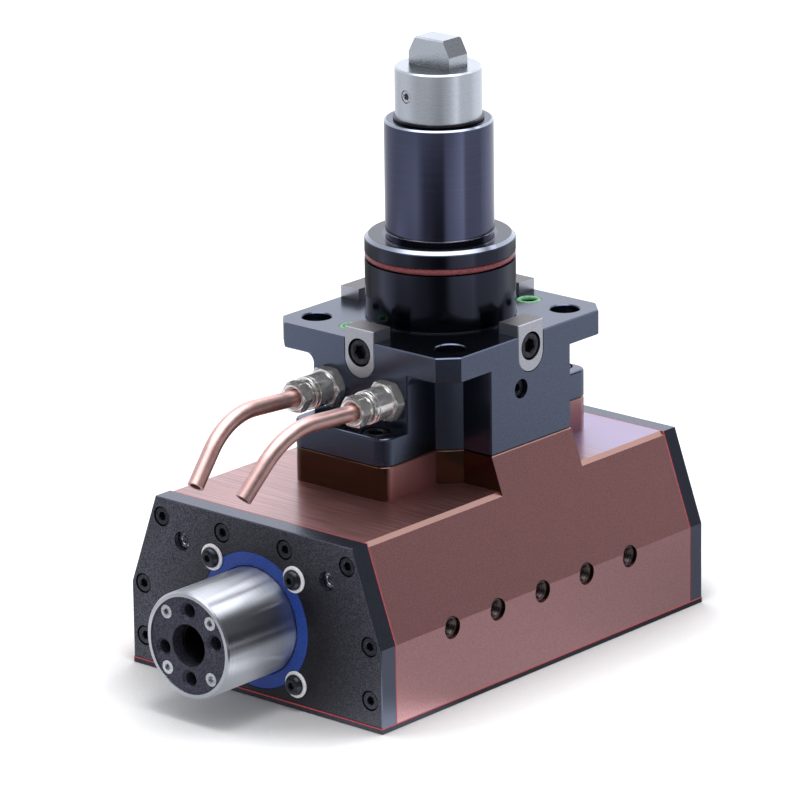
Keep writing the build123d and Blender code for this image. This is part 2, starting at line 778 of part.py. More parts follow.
with BuildPart() as adapter_block:
    with BuildSketch(Plane.XY.offset(pedestal_height)) as arms:
        Rectangle(2 * flange_half_x, 2 * arm_half_width)
        Rectangle(2 * arm_half_width, 2 * flange_half_y)
        chamfer(arms.vertices(), arm_chamfer)
        Circle(core_radius)
    extrude(amount=flange_top - flange_chamfer - pedestal_height)
    # rounded corners where the front and rear arms run into the flange
    for side in (-1, 1):
        corner = side * arm_half_width
        with BuildSketch(Plane.XZ) as corner_fill:
            with Locations((corner + side * arm_fillet / 2, flange_underside - arm_fillet / 2)):
                Rectangle(arm_fillet, arm_fillet)
            with Locations((corner + side * arm_fillet, flange_underside - arm_fillet)):
                Circle(arm_fillet, mode=Mode.SUBTRACT)
        extrude(corner_fill.sketch, amount=flange_half_y - arm_chamfer, both=True)
    add(adapter_foot.part)
    add(adapter_flange.part)
    # spigot that centres the block on the housing and holds the lower bearings down
    turn(input_section, Axis.Z,
         [(spigot_bottom, 0), (spigot_bottom, lower_bearing_outer - fit_gap),
          (pedestal_height, lower_bearing_outer - fit_gap), (pedestal_height, 0)])
    turn(input_section, Axis.Z,
         [(spigot_bottom, 0), (spigot_bottom, pocket_radius),
          (collar_top + collar_headroom, pocket_radius),
          (collar_top + collar_headroom, shaft_bore_radius),
          (shank_spigot_bottom, shaft_bore_radius), (shank_spigot_bottom, shank_seat),
          (shank_foot, shank_seat), (shank_foot, shank_radius + shank_foot_relief),
          (flange_top, shank_radius + shank_foot_relief), (flange_top, 0)], Mode.SUBTRACT)
    drill([Plane.XY.offset(flange_top)], bolt_places, bolt_hole_radius, flange_thickness)
    key_shape(key_planes, key_top, key_slot_gap, key_slot_depth, Mode.SUBTRACT)
    drill(key_planes, key_screw_place, m6_radius + fit_gap, key_thread_depth)
    drill([foot_plane], adapter_screw_places, m6_radius + screw_gap, foot_height)
    drill([foot_plane], adapter_screw_places, m6_counterbore_radius, m6_head_height)
    # coolant passages from the flange face to the front fittings
    top_plane = Plane.XY.offset(flange_top)
    countersink(top_plane, bolt_places, bolt_hole_radius, bolt_hole_radius + bolt_hole_chamfer)
    drill([top_plane], port_places, port_radius,
          flange_top - coolant_height + channel_radius + channel_overrun)
    drill([top_plane], port_places, port_ring_radius + fit_gap, port_ring_sink)
    drill([key_planes[0]], [fitting_places[0]], channel_radius, flange_half_y - coolant_port_y)
    drill([key_planes[0]], [fitting_places[1]], channel_radius, flange_half_y + coolant_port_y)
    drill([key_planes[0]], fitting_places, fitting_thread_radius + fit_gap,
          fitting_thread_length + channel_overrun)
    drill([side_face], [(side_plug_y, coolant_height)], side_channel_radius,
          flange_half_x - coolant_x)
    drill([side_face], [(side_plug_y, coolant_height)], side_plug_radius + fit_gap,
          side_plug_length + side_plug_sink + thread_runout)
keep(adapter_block, "adapter_block")

keep(socket_screws([adapter_seat], adapter_screw_places, m6_radius, adapter_screw_length,
                   m6_head_radius, m6_head_height, m6_socket), "adapter_screws")
keep(set_screws([side_face.offset(-side_plug_sink)], [(side_plug_y, coolant_height)],
                side_plug_radius, side_plug_length, m4_socket), "coolant_plug_screw")

# Location keys in the flange edges
with BuildPart() as location_keys:
    key_shape(key_planes, key_top, 0, key_depth)
    key_faces = [face for face in location_keys.faces() for plane in key_planes
                 if abs(plane.to_local_coords(face.center()).Z) < fit_gap]
    chamfer([edge for face in key_faces for edge in face.edges()], key_chamfer)
    drill(key_planes, key_screw_place, m6_radius + screw_gap, key_depth)
    drill(key_planes, key_screw_place, m6_counterbore_radius, m6_head_height + key_screw_sink)
keep(location_keys, "location_keys")
keep(socket_screws(key_seats, key_screw_place, m6_radius, key_screw_length, m6_head_radius,
                   m6_head_height, m6_socket), "key_screws")

# Shank: locating collar and the slimmer sleeve that carries the upper bearing
ring_middle = flange_top + shank_ring_height
ring_half = shank_ring_section / 2
groove_half = ring_half + ring_groove_gap
groove_floor = shank_radius - shank_ring_section - face_gap
upper_seat = upper_bearing_outer + fit_gap
with BuildPart() as shank:
    turn(input_section, Axis.Z,
         [(shank_spigot_bottom, shaft_bore_radius), (shank_spigot_bottom, shank_spigot_radius),
          (shank_foot, shank_spigot_radius), (shank_foot, shank_radius - shank_foot_relief),
          (flange_top, shank_radius - shank_foot_relief), (flange_top, shank_radius),
          (shank_top - shank_chamfer, shank_radius), (shank_top, shank_radius - shank_chamfer),
          (shank_top, sleeve_radius - sleeve_groove_depth),
          (shank_top + sleeve_groove_width, sleeve_radius - sleeve_groove_depth),
          (shank_top + sleeve_groove_width, sleeve_radius),
          (sleeve_top - edge_chamfer, sleeve_radius), (sleeve_top, sleeve_radius - edge_chamfer),
          (sleeve_top, upper_seat), (upper_bearing_height, upper_seat),
          (upper_bearing_height, shaft_bore_radius)])
    turn(input_section, Axis.Z,
         [(ring_middle - groove_half, groove_floor), (ring_middle - groove_half, shank_radius),
          (ring_middle + groove_half, shank_radius), (ring_middle + groove_half, groove_floor)],
         Mode.SUBTRACT)
keep(shank, "shank")

with BuildPart(Plane.XY.offset(ring_middle)) as shank_o_ring:
    Torus(shank_radius - face_gap / 2 - ring_half, ring_half)
keep(shank_o_ring, "shank_o_ring")

port_ring_half = port_ring_section / 2
with BuildPart(Plane.XY.offset(flange_top - port_ring_sink + port_ring_half)) as coolant_o_rings:
    with Locations(*port_places):
        Torus(port_ring_radius - port_ring_half, port_ring_half)
keep(coolant_o_rings, "coolant_o_rings")

# Coolant fittings: hexagon, round body, then the clamping nut
fitting_front = fitting_hex_thickness + fitting_body_length
nut_face = fitting_front + nut_neck_length + nut_hex_thickness
pipe_way = pipe_radius + face_gap / 2
pipe_stop = fitting_hex_thickness + pipe_socket_floor
fitting_plane = key_planes[0]
with BuildPart(fitting_plane) as fitting_bodies:
    with BuildSketch(fitting_plane):
        with Locations(*fitting_places):
            RegularPolygon(fitting_hex / 2, 6, major_radius=False)
    extrude(amount=fitting_hex_thickness)
    with Locations(*lifted(fitting_places, fitting_front / 2)):
        Cylinder(fitting_body_radius, fitting_front)
    with Locations(*lifted(fitting_places, -fitting_thread_length / 2)):
        Cylinder(fitting_thread_radius, fitting_thread_length)
    drill([fitting_plane.offset(fitting_front)], fitting_places, pipe_bore_radius,
          fitting_front + fitting_thread_length)
    drill([fitting_plane.offset(fitting_front)], fitting_places, pipe_way,
          fitting_front - pipe_stop)
    drill([fitting_plane.offset(fitting_front)], fitting_places, nut_neck_radius + fit_gap,
          nut_stem_length)
keep(fitting_bodies, "fitting_bodies")

with BuildPart(fitting_plane) as fitting_nuts:
    stem_length = nut_stem_length - face_gap + nut_neck_length
    with Locations(*lifted(fitting_places, fitting_front + nut_neck_length - stem_length / 2)):
        Cylinder(nut_neck_radius, stem_length)
    with BuildSketch(fitting_plane.offset(nut_face)):
        with Locations(*fitting_places):
            RegularPolygon(nut_hex / 2, 6, major_radius=False)
    extrude(amount=-nut_hex_thickness)
    drill([fitting_plane.offset(nut_face)], fitting_places, pipe_way,
          nut_hex_thickness + stem_length)
    countersink(fitting_plane.offset(nut_face), fitting_places, pipe_way, pipe_way + nut_mouth)
keep(fitting_nuts, "fitting_nuts")

# Bent copper pipes that aim the coolant at the tool
for side, name in ((-1, "coolant_pipe_left"), (1, "coolant_pipe_right")):
    exit_y = -flange_half_y - nut_face
    drop = radians(pipe_drop_angle)
    toe = radians(pipe_toe_angle)
    start = Vector(side * coolant_x, -flange_half_y - pipe_stop - face_gap, coolant_height)
    kink = Vector(side * coolant_x, exit_y - pipe_kink, coolant_height)
    bend = Vector(side * coolant_x, exit_y - pipe_straight, coolant_height + pipe_rise)
    aim = Vector(-side * sin(toe) * cos(drop), -cos(toe) * cos(drop), -sin(drop))
    with BuildPart() as coolant_pipe:
        with BuildLine():
            FilletPolyline(start, kink, bend, bend + aim * pipe_drop_length,
                           radius=[pipe_kink_radius, pipe_bend_radius])
        with BuildSketch(Plane(origin=start, x_dir=(1, 0, 0), z_dir=(0, -1, 0))):
            Circle(pipe_radius)
            Circle(pipe_bore_radius, mode=Mode.SUBTRACT)
        sweep()
    keep(coolant_pipe, name)

# Spindle: nose, bearing seats and the seat of the bevel gear
rear_journal = rear_bearing_bore - fit_gap
front_journal = front_bearing_bore - fit_gap
gear_seat = gear_seat_radius - fit_gap
rear_end = -rear_bearing_face - nut_thickness - spindle_overhang
front_nut_start = front_seat_end - nut_thickness
gear_flank = gear_seat_radius + gear_shoulder_step
nose_step_radius = nose_radius - nose_step_depth
nose_step_end = front_bearing_face + nose_step_length
nose_plate_seat = nose_plate_radius + fit_gap
gear_key_length = gear_shoulder - gear_front - 2 * gear_key_inset
gear_key_middle = -(gear_shoulder + gear_front) / 2
gear_key_place = (0, gear_key_middle, spindle_height + gear_seat_radius - key_stock_sink)
gear_key_size = (key_stock_width, gear_key_length, key_stock_height)
with BuildPart() as spindle:
    turn(spindle_section, spindle_axis,
         [(rear_end, 0), (rear_end, rear_journal), (gear_front, rear_journal),
          (gear_front, gear_seat), (gear_shoulder, gear_seat), (gear_shoulder, gear_flank),
          (front_nut_start, gear_flank), (front_nut_start, front_journal),
          (front_bearing_face, front_journal), (front_bearing_face, nose_step_radius),
          (nose_step_end, nose_step_radius), (nose_step_end, nose_radius),
          (nose_face - edge_chamfer, nose_radius), (nose_face, nose_radius - edge_chamfer),
          (nose_face, 0)])
    turn(spindle_section, spindle_axis,
         [(nose_pocket - spindle_bore_depth - spindle_bore_radius, 0),
          (nose_pocket - spindle_bore_depth, spindle_bore_radius),
          (nose_pocket, spindle_bore_radius), (nose_pocket, nose_plate_seat),
          (nose_face, nose_plate_seat), (nose_face, 0)], Mode.SUBTRACT)
    drill([spindle_plane(nose_pocket)], drive_hole_places, drive_hole_radius,
          drive_hole_depth - nose_plate_thickness)
    drill([spindle_plane(nose_pocket)], nose_screw_places, nose_screw_radius + fit_gap,
          nose_screw_length - nose_plate_thickness + thread_runout)
    keyway(gear_key_place, gear_key_size)
keep(spindle, "spindle")

with BuildPart() as nose_plate:
    with BuildSketch(spindle_plane(nose_pocket)):
        Circle(nose_plate_radius)
        Circle(nose_bore_radius, mode=Mode.SUBTRACT)
    extrude(amount=nose_plate_thickness)
    plate_face = spindle_plane(nose_plate_face)
    drill([plate_face], drive_hole_places, drive_hole_radius, nose_plate_thickness)
    drill([plate_face], nose_screw_places, nose_screw_radius + fit_gap, nose_plate_thickness)
    countersink(plate_face, drive_hole_places, drive_hole_radius, drive_hole_mouth)
    countersink(plate_face, nose_screw_places, nose_screw_radius + fit_gap,
                nose_screw_head_radius + fit_gap)
keep(nose_plate, "nose_plate")
keep(countersunk_screws(plate_face, nose_screw_places, nose_screw_radius, nose_screw_length,
                        nose_screw_head_radius, m3_socket), "nose_screws")

# Bevel gear on the spindle and pinion on the input shaft
spindle_gear = bevel_gear(gear_seat_radius, gear_hub_radius, gear_shoulder, 0)
with BuildPart() as spindle_bevel_gear:
    add(spindle_gear.part.moved(spindle_plane(0).location))
    keyway(gear_key_place, gear_key_size)
keep(spindle_bevel_gear, "bevel_gear")

with BuildPart() as gear_key:
    with Locations(gear_key_place):
        Box(*gear_key_size)
keep(gear_key, "gear_key")

pinion_seat_bottom = pinion_front + pinion_web
pinion_top = lower_bearing_height
pinion_key_length = pinion_top - pinion_seat_bottom - 2 * pinion_key_inset
pinion_key_place = (pinion_seat_radius - key_stock_sink, 0, (pinion_seat_bottom + pinion_top) / 2)
pinion_key_size = (key_stock_height, key_stock_width, pinion_key_length)
screw_mouth = 2 * m6_radius
pinion_gear = bevel_gear(m6_radius + screw_gap, pinion_hub_radius,
                         pinion_top - spindle_height, 180 / gear_teeth)
with BuildPart() as bevel_pinion:
    add(pinion_gear.part.moved(Location((0, 0, spindle_height))))
    turn(input_section, Axis.Z,
         [(pinion_seat_bottom, 0), (pinion_seat_bottom, pinion_seat_radius),
          (pinion_top, pinion_seat_radius), (pinion_top, 0)], Mode.SUBTRACT)
    turn(input_section, Axis.Z,
         [(pinion_front, 0), (pinion_front, screw_mouth),
          (pinion_front + screw_mouth - m6_radius, m6_radius),
          (pinion_front + screw_mouth - m6_radius, 0)], Mode.SUBTRACT)
    keyway(pinion_key_place, pinion_key_size)
keep(bevel_pinion, "bevel_pinion")

with BuildPart() as pinion_key:
    with Locations(pinion_key_place):
        Box(*pinion_key_size)
keep(pinion_key, "pinion_key")

pinion_screw_base = Plane(origin=(0, 0, pinion_front + face_gap), x_dir=(1, 0, 0),
                          z_dir=(0, 0, -1))
keep(countersunk_screws(pinion_screw_base, [(0, 0)], m6_radius, pinion_screw_length,
                        screw_mouth - face_gap - fit_gap, m4_socket), "pinion_screw")

# Sleeve and nuts that clamp the gear and the bearings along the spindle
with BuildPart() as gear_spacer:
    turn(spindle_section, spindle_axis,
         [(-rear_bearing_start, rear_bearing_bore), (-rear_bearing_start, spacer_radius),
          (gear_front, spacer_radius), (gear_front, rear_bearing_bore)])
keep(gear_spacer, "gear_spacer")

for name, base_station, nut_bore, nut_radius in (
        ("bearing_nut", front_nut_start, front_bearing_bore, front_nut_radius),
        ("rear_nut", -rear_bearing_face - nut_thickness, rear_bearing_bore, rear_nut_radius)):
    with BuildPart(spindle_plane(base_station + nut_thickness / 2)) as slotted_nut:
        Cylinder(nut_radius, nut_thickness)
        Cylinder(nut_bore, nut_thickness, mode=Mode.SUBTRACT)
        with PolarLocations(nut_radius, 4):
            Box(2 * nut_slot_depth, nut_slot_width, nut_thickness, mode=Mode.SUBTRACT)
    keep(slotted_nut, name)

# Input shaft with its collar above the lower bearings
upper_journal = upper_bearing_bore - fit_gap
lower_journal = lower_bearing_bore - fit_gap
pinion_journal = pinion_seat_radius - fit_gap
pinion_screw_end = pinion_front + pinion_screw_length + thread_runout
shaft_top = coupling_top - coupling_cap
coupling_screw_height = coupling_top - coupling_screw_drop
with BuildPart() as input_shaft:
    turn(input_section, Axis.Z,
         [(pinion_seat_bottom, 0), (pinion_seat_bottom, pinion_journal),
          (lower_bearing_height, pinion_journal), (lower_bearing_height, lower_journal),
          (collar_bottom, lower_journal), (collar_bottom, shaft_collar_radius),
          (collar_top, shaft_collar_radius), (collar_top, shaft_radius),
          (upper_bearing_height, shaft_radius), (upper_bearing_height, upper_journal),
          (shaft_top, upper_journal), (shaft_top, 0)])
    turn(input_section, Axis.Z,
         [(pinion_seat_bottom, 0), (pinion_seat_bottom, m6_radius + fit_gap),
          (pinion_screw_end, m6_radius + fit_gap), (pinion_screw_end, 0)], Mode.SUBTRACT)
    keyway(pinion_key_place, pinion_key_size)
keep(input_shaft, "input_shaft")

# Drive coupling with the tang that enters the turret's drive
screw_out = (cos(radians(coupling_screw_angle)), sin(radians(coupling_screw_angle)))
coupling_screw_plane = Plane(
    origin=(coupling_radius * screw_out[0], coupling_radius * screw_out[1], coupling_screw_height),
    x_dir=(0, 0, 1), z_dir=(screw_out[0], screw_out[1], 0))
with BuildPart() as drive_coupling:
    turn(input_section, Axis.Z,
         [(upper_bearing_top, upper_bearing_bore), (upper_bearing_top, coupling_neck_radius),
          (coupling_bottom, coupling_neck_radius), (coupling_bottom, coupling_radius),
          (coupling_top - edge_chamfer, coupling_radius),
          (coupling_top, coupling_radius - edge_chamfer), (coupling_top, 0),
          (shaft_top + face_gap, 0), (shaft_top + face_gap, upper_bearing_bore)])
    with BuildSketch(Plane.XZ):
        Polygon((-tang_half_width, coupling_top), (tang_half_width, coupling_top),
                (tang_half_width, coupling_top + tang_land),
                (tang_top_half_width, coupling_top + tang_height),
                (-tang_top_half_width, coupling_top + tang_height),
                (-tang_half_width, coupling_top + tang_land), align=None)
    extrude(amount=tang_half_thickness, both=True)
    chamfer(drive_coupling.faces().sort_by(Axis.Z)[-1].edges().filter_by(Axis.X), tang_chamfer)
    drill([coupling_screw_plane], [(0, 0)], coupling_screw_radius + fit_gap,
          coupling_radius - upper_bearing_bore + thread_runout)
keep(drive_coupling, "drive_coupling")
coupling_screw_length = coupling_radius - coupling_screw_sink - upper_bearing_bore
keep(set_screws([coupling_screw_plane.offset(-coupling_screw_sink)], [(0, 0)],
                coupling_screw_radius, coupling_screw_length, coupling_screw_socket),
     "coupling_screw")

with BuildPart() as dust_ring:
    turn(input_section, Axis.Z,
         [(sleeve_top + dust_ring_gap, coupling_neck_radius + fit_gap),
          (sleeve_top + dust_ring_gap, dust_ring_radius), (coupling_bottom, dust_ring_radius),
          (coupling_bottom, coupling_neck_radius + fit_gap)])
keep(dust_ring, "dust_ring")

with BuildPart() as input_seal:
    turn(input_section, Axis.Z,
         [(upper_bearing_top + input_seal_gap, coupling_neck_radius + running_gap),
          (upper_bearing_top + input_seal_gap, upper_bearing_outer),
          (sleeve_top - input_seal_gap, upper_bearing_outer),
          (sleeve_top - input_seal_gap, coupling_neck_radius + running_gap)])
keep(input_seal, "input_seal")

# Ball bearings
front_middles = [spindle_plane(front_bearing_face - front_bearing_width / 2),
                 spindle_plane(front_seat_end + front_bearing_width / 2)]
ball_bearings(front_middles, front_bearing_width, front_bearing_bore, front_bearing_outer,
              "front_bearing")
ball_bearings([spindle_plane(-rear_bearing_start - rear_bearing_width / 2)], rear_bearing_width,
              rear_bearing_bore, rear_bearing_outer, "rear_bearing")
lower_middles = [Plane.XY.offset(lower_bearing_height + lower_bearing_width / 2),
                 Plane.XY.offset(lower_bearing_top - lower_bearing_width / 2)]
ball_bearings(lower_middles, lower_bearing_width, lower_bearing_bore, lower_bearing_outer,
              "lower_bearing")
ball_bearings([Plane.XY.offset(upper_bearing_height + upper_bearing_width / 2)],
              upper_bearing_width, upper_bearing_bore, upper_bearing_outer, "upper_bearing")
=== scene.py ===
from math import cos, pi, radians, sin, sqrt

import bpy
from mathutils import Matrix, Vector


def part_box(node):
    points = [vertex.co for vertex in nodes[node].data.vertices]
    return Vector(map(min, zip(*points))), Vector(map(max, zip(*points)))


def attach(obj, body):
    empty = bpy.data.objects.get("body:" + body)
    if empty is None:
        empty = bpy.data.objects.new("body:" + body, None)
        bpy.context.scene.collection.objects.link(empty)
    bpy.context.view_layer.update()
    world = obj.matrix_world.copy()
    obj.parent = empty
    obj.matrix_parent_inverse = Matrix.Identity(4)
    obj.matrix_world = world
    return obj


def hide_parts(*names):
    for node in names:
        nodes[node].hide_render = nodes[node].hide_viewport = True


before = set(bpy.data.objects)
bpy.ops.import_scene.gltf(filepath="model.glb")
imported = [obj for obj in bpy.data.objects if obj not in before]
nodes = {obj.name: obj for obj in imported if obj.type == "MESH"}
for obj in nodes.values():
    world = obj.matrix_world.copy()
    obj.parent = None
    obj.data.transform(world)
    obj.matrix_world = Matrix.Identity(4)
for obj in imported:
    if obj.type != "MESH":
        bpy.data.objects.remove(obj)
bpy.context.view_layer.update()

mm = 0.001
print("frame loaded:", len(nodes), "nodes")


def middleHeight(node):
    low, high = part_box(node)
    return (low.z + high.z) / 2 / mm


# faces and axes that the new pieces stand on, in mm, taken from the frame
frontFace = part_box("front_cover")[0].y / mm
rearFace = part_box("rear_cover")[1].y / mm
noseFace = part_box("nose_plate")[0].y / mm
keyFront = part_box("location_keys")[0].y / mm
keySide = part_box("location_keys")[1].x / mm
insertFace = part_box("side_thread_inserts")[1].x / mm
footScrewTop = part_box("adapter_screws")[1].z / mm
spindleHeight = middleHeight("spindle")
coolantHeight = middleHeight("fitting_bodies")


def tint(code):
    # sRGB hex to Blender's linear colour
    parts = [int(code[i:i + 2], 16) / 255 for i in (1, 3, 5)]
    return [p / 12.92 if p < 0.04045 else ((p + 0.055) / 1.055) ** 2.4 for p in parts] + [1.0]


def grey(level):
    return [level, level, level, 1.0]


def feed(tree, node, sources):
    for name, source in sources.items():
        tree.links.new(source, node.inputs[name])


def addNode(tree, kind, settings=None, links=None):
    # a setting goes to the socket of that name or number, or else to the node itself
    node = tree.nodes.new(kind)
    for name, value in (settings or {}).items():
        if isinstance(name, int) or name in node.inputs:
            node.inputs[name].default_value = value
        else:
            setattr(node, name, value)
    feed(tree, node, links or {})
    return node


def newMaterial(name):
    material = bpy.data.materials.new(name)
    material.use_nodes = True
    tree = material.node_tree
    tree.nodes.clear()
    shader = addNode(tree, "ShaderNodeBsdfPrincipled")
    addNode(tree, "ShaderNodeOutputMaterial", {}, {"Surface": shader.outputs[0]})
    place = addNode(tree, "ShaderNodeTexCoord").outputs["Object"]
    return material, tree, shader, place


def setStops(ramp, positions, colours):
    # each colour is sRGB hex or a grey level
    elements = ramp.color_ramp.elements
    while len(elements) < len(positions):
        elements.new(0.5)
    for element, position, colour in zip(elements, positions, colours):
        element.position = position
        element.color = tint(colour) if isinstance(colour, str) else grey(colour)


def facingMask(tree, axis, span, bothWays=False):
    # 0 to 1 as the surface turns along an axis, between the two shares of its normal in span
    normal = addNode(tree, "ShaderNodeNewGeometry").outputs["Normal"]
    share = addNode(tree, "ShaderNodeSeparateXYZ", {}, {0: normal}).outputs[axis]
    if bothWays:
        share = addNode(tree, "ShaderNodeMath", {"operation": "ABSOLUTE"}, {0: share}).outputs[0]
    return addNode(tree, "ShaderNodeMapRange", {"From Min": span[0], "From Max": span[1]},
                   {"Value": share}).outputs[0]


def product(tree, masks):
    result = masks[0]
    for mask in masks[1:]:
        result = addNode(tree, "ShaderNodeMath", {"operation": "MULTIPLY"}, {0: result, 1: mask}).outputs[0]
    return result


shadeSpan = (0.35, 0.65)  # where in the noise's range the dark shade turns light
roughSpan = (0.3, 0.7)    # and where the smoother finish turns rougher
upward = (0.9, 0.97)      # how much of a face's normal points up before it counts as a top face
bumpDepth = 0.05 * mm
usualBump = 0.2

print("materials")

# Anodised aluminium, dyed red-brown: the sides are fine blasted and satin under a clear oxide film, with
# browner chamfers. The shelf keeps milled streaks, in shades painted darker as painted reflection, and
# towards the rear a painted lavender reflection. The faces that look forward or back are milled, smoother
# and painted dark, as painted shade and a painted dark reflection.
housingLook = {
    "shades": ("#ae7774", "#be8a89"), "rough": (0.42, 0.5), "coatRough": 0.2, "bump": 0.12,
    "grainMm": 0.45,  # blast grain is about 0.1 mm on the real one, drawn coarser so that it shows
    "shelf": ("#8c5e59", "#bd8a86"), "streakMm": 0.9, "streakLengthMm": 28, "streakSpan": (0.3, 0.7),
    "paintedSheen": "#8d85b4", "paintedSheenFromMm": 20, "paintedSheenToMm": 45, "paintedSheenShare": 0.7,
    "chamfer": "#8f6050", "chamferFacing": (0.5, 0.6),
    "milledPaintedShade": "#5e4638", "milledRough": 0.18, "milledShadedFacing": (0.3, 0.6),
}
anodisedHousing, tree, shader, place = newMaterial("anodisedAluminium")
shader.inputs["Metallic"].default_value = 1.0
shader.inputs["Coat Weight"].default_value = 1.0
shader.inputs["Coat Roughness"].default_value = housingLook["coatRough"]
grain = addNode(tree, "ShaderNodeTexNoise", {"Scale": 1 / (housingLook["grainMm"] * mm), "Detail": 2.0},
                {"Vector": place}).outputs["Fac"]
perMetre = (1 / (housingLook["streakLengthMm"] * mm), 1 / (housingLook["streakMm"] * mm), 0)
stretched = addNode(tree, "ShaderNodeVectorMath", {"operation": "MULTIPLY", 1: perMetre}, {0: place})
streaks = addNode(tree, "ShaderNodeTexNoise", {"Scale": 1.0, "Detail": 3.0},
                  {"Vector": stretched.outputs[0]}).outputs["Fac"]
shelfMask = facingMask(tree, "Z", upward)
chamferMask = facingMask(tree, "Z", housingLook["chamferFacing"])
milledShadedMask = facingMask(tree, "Y", housingLook["milledShadedFacing"], bothWays=True)
pattern = addNode(tree, "ShaderNodeMix", {"data_type": "FLOAT"},
                  {0: shelfMask, 2: grain, 3: streaks}).outputs[0]
dyed = addNode(tree, "ShaderNodeValToRGB", {}, {0: grain})
setStops(dyed, shadeSpan, housingLook["shades"])
# the shelf's milled streaks, in shades painted darker as painted reflection of the dark parts it mirrors
streaked = addNode(tree, "ShaderNodeValToRGB", {}, {0: streaks})
setStops(streaked, housingLook["streakSpan"], housingLook["shelf"])
edged = addNode(tree, "ShaderNodeMix", {"data_type": "RGBA", 7: tint(housingLook["chamfer"])},
                {0: chamferMask, 6: dyed.outputs[0]})
shelved = addNode(tree, "ShaderNodeMix", {"data_type": "RGBA"},
                  {0: shelfMask, 6: edged.outputs[2], 7: streaked.outputs[0]})
station = addNode(tree, "ShaderNodeSeparateXYZ", {}, {0: place}).outputs["Y"]
# painted reflection: the shelf's top faces turn lavender towards the rear
paintedSheenMask = addNode(tree, "ShaderNodeMapRange",
                 {"From Min": housingLook["paintedSheenFromMm"] * mm, "From Max": housingLook["paintedSheenToMm"] * mm,
                  "To Max": housingLook["paintedSheenShare"]}, {"Value": station}).outputs[0]
colour = addNode(tree, "ShaderNodeMix", {"data_type": "RGBA", 7: tint(housingLook["paintedSheen"])},
                 {0: product(tree, [paintedSheenMask, shelfMask]), 6: shelved.outputs[2]})
smooth, rough = housingLook["rough"]
roughness = addNode(tree, "ShaderNodeMapRange", {"From Min": roughSpan[0], "From Max": roughSpan[1],
                                                 "To Min": smooth, "To Max": rough}, {"Value": pattern})
bump = addNode(tree, "ShaderNodeBump", {"Strength": housingLook["bump"], "Distance": bumpDepth},
               {"Height": pattern})
feed(tree, shader, {"Base Color": colour.outputs[2], "Roughness": roughness.outputs[0],
                    "Normal": bump.outputs[0]})
# faces that look forward or back: smoother, and painted dark brown as painted shade and painted dark
# reflection
milledPaintedShade = addNode(tree, "ShaderNodeBsdfPrincipled",
                 {"Base Color": tint(housingLook["milledPaintedShade"]), "Metallic": 1.0,
                  "Roughness": housingLook["milledRough"]}, {"Normal": bump.outputs[0]})
both = addNode(tree, "ShaderNodeMixShader", {}, {0: milledShadedMask, 1: shader.outputs[0], 2: milledPaintedShade.outputs[0]})
feed(tree, tree.nodes["Material Output"], {"Surface": both.outputs[0]})

# Hard-anodised aluminium plate, blasted faces and milled edges: the faces are dull black, painted darkest
# round the nose as painted shade and lighter away from it as painted light on the grey grain, and the
# edges keep a silky blue-grey shine.
coverLook = {
    "face": ("#050509", "#1a1924"), "paintedLight": ("#1e1e28", "#5b5a68"), "shadeSpan": (0.38, 0.68),
    "paintedLightCentre": (10, -103, 24), "paintedLightFromMm": 22, "paintedLightToMm": 60,
    "edge": "#5a5e6b", "edgeFacing": (0.95, 0.85), "faceRough": 0.45, "edgeRough": 0.24, "edgeMetallic": 0.9,
    "grainMm": 0.42,  # blast grain, drawn coarse as on the housing
    "bump": 0.35, "bumpDepth": 0.1 * mm, "specular": 0.3,
}
blackCover, tree, shader, place = newMaterial("hardAnodisedPlate")
shader.inputs["Specular IOR Level"].default_value = coverLook["specular"]
grain = addNode(tree, "ShaderNodeTexNoise", {"Scale": 1 / (coverLook["grainMm"] * mm), "Detail": 2.0},
                {"Vector": place}).outputs["Fac"]
shades = []
for name in ("face", "paintedLight"):
    shades.append(addNode(tree, "ShaderNodeValToRGB", {}, {0: grain}))
    setStops(shades[-1], coverLook["shadeSpan"], coverLook[name])
# painted shade round the nose: the grain turns to the lighter, painted light shades with distance from this
# point
paintedLightCentre = [v * mm for v in coverLook["paintedLightCentre"]]
spread = addNode(tree, "ShaderNodeVectorMath", {"operation": "DISTANCE", 1: paintedLightCentre}, {0: place})
paintedLight = addNode(tree, "ShaderNodeMapRange",
                {"From Min": coverLook["paintedLightFromMm"] * mm, "From Max": coverLook["paintedLightToMm"] * mm},
                {"Value": spread.outputs["Value"]}).outputs[0]
faceColour = addNode(tree, "ShaderNodeMix", {"data_type": "RGBA"},
                     {0: paintedLight, 6: shades[0].outputs[0], 7: shades[1].outputs[0]})
edgeMask = facingMask(tree, "Y", coverLook["edgeFacing"], bothWays=True)
colour = addNode(tree, "ShaderNodeMix", {"data_type": "RGBA", 7: tint(coverLook["edge"])},
                 {0: edgeMask, 6: faceColour.outputs[2]})
roughness = addNode(tree, "ShaderNodeMapRange",
                    {"To Min": coverLook["faceRough"], "To Max": coverLook["edgeRough"]}, {"Value": edgeMask})
metal = addNode(tree, "ShaderNodeMapRange", {"To Min": 0.0, "To Max": coverLook["edgeMetallic"]},
                {"Value": edgeMask})
bump = addNode(tree, "ShaderNodeBump", {"Strength": coverLook["bump"], "Distance": coverLook["bumpDepth"]},
               {"Height": grain})
feed(tree, shader, {"Base Color": colour.outputs[2], "Roughness": roughness.outputs[0],
                    "Metallic": metal.outputs[0], "Normal": bump.outputs[0]})


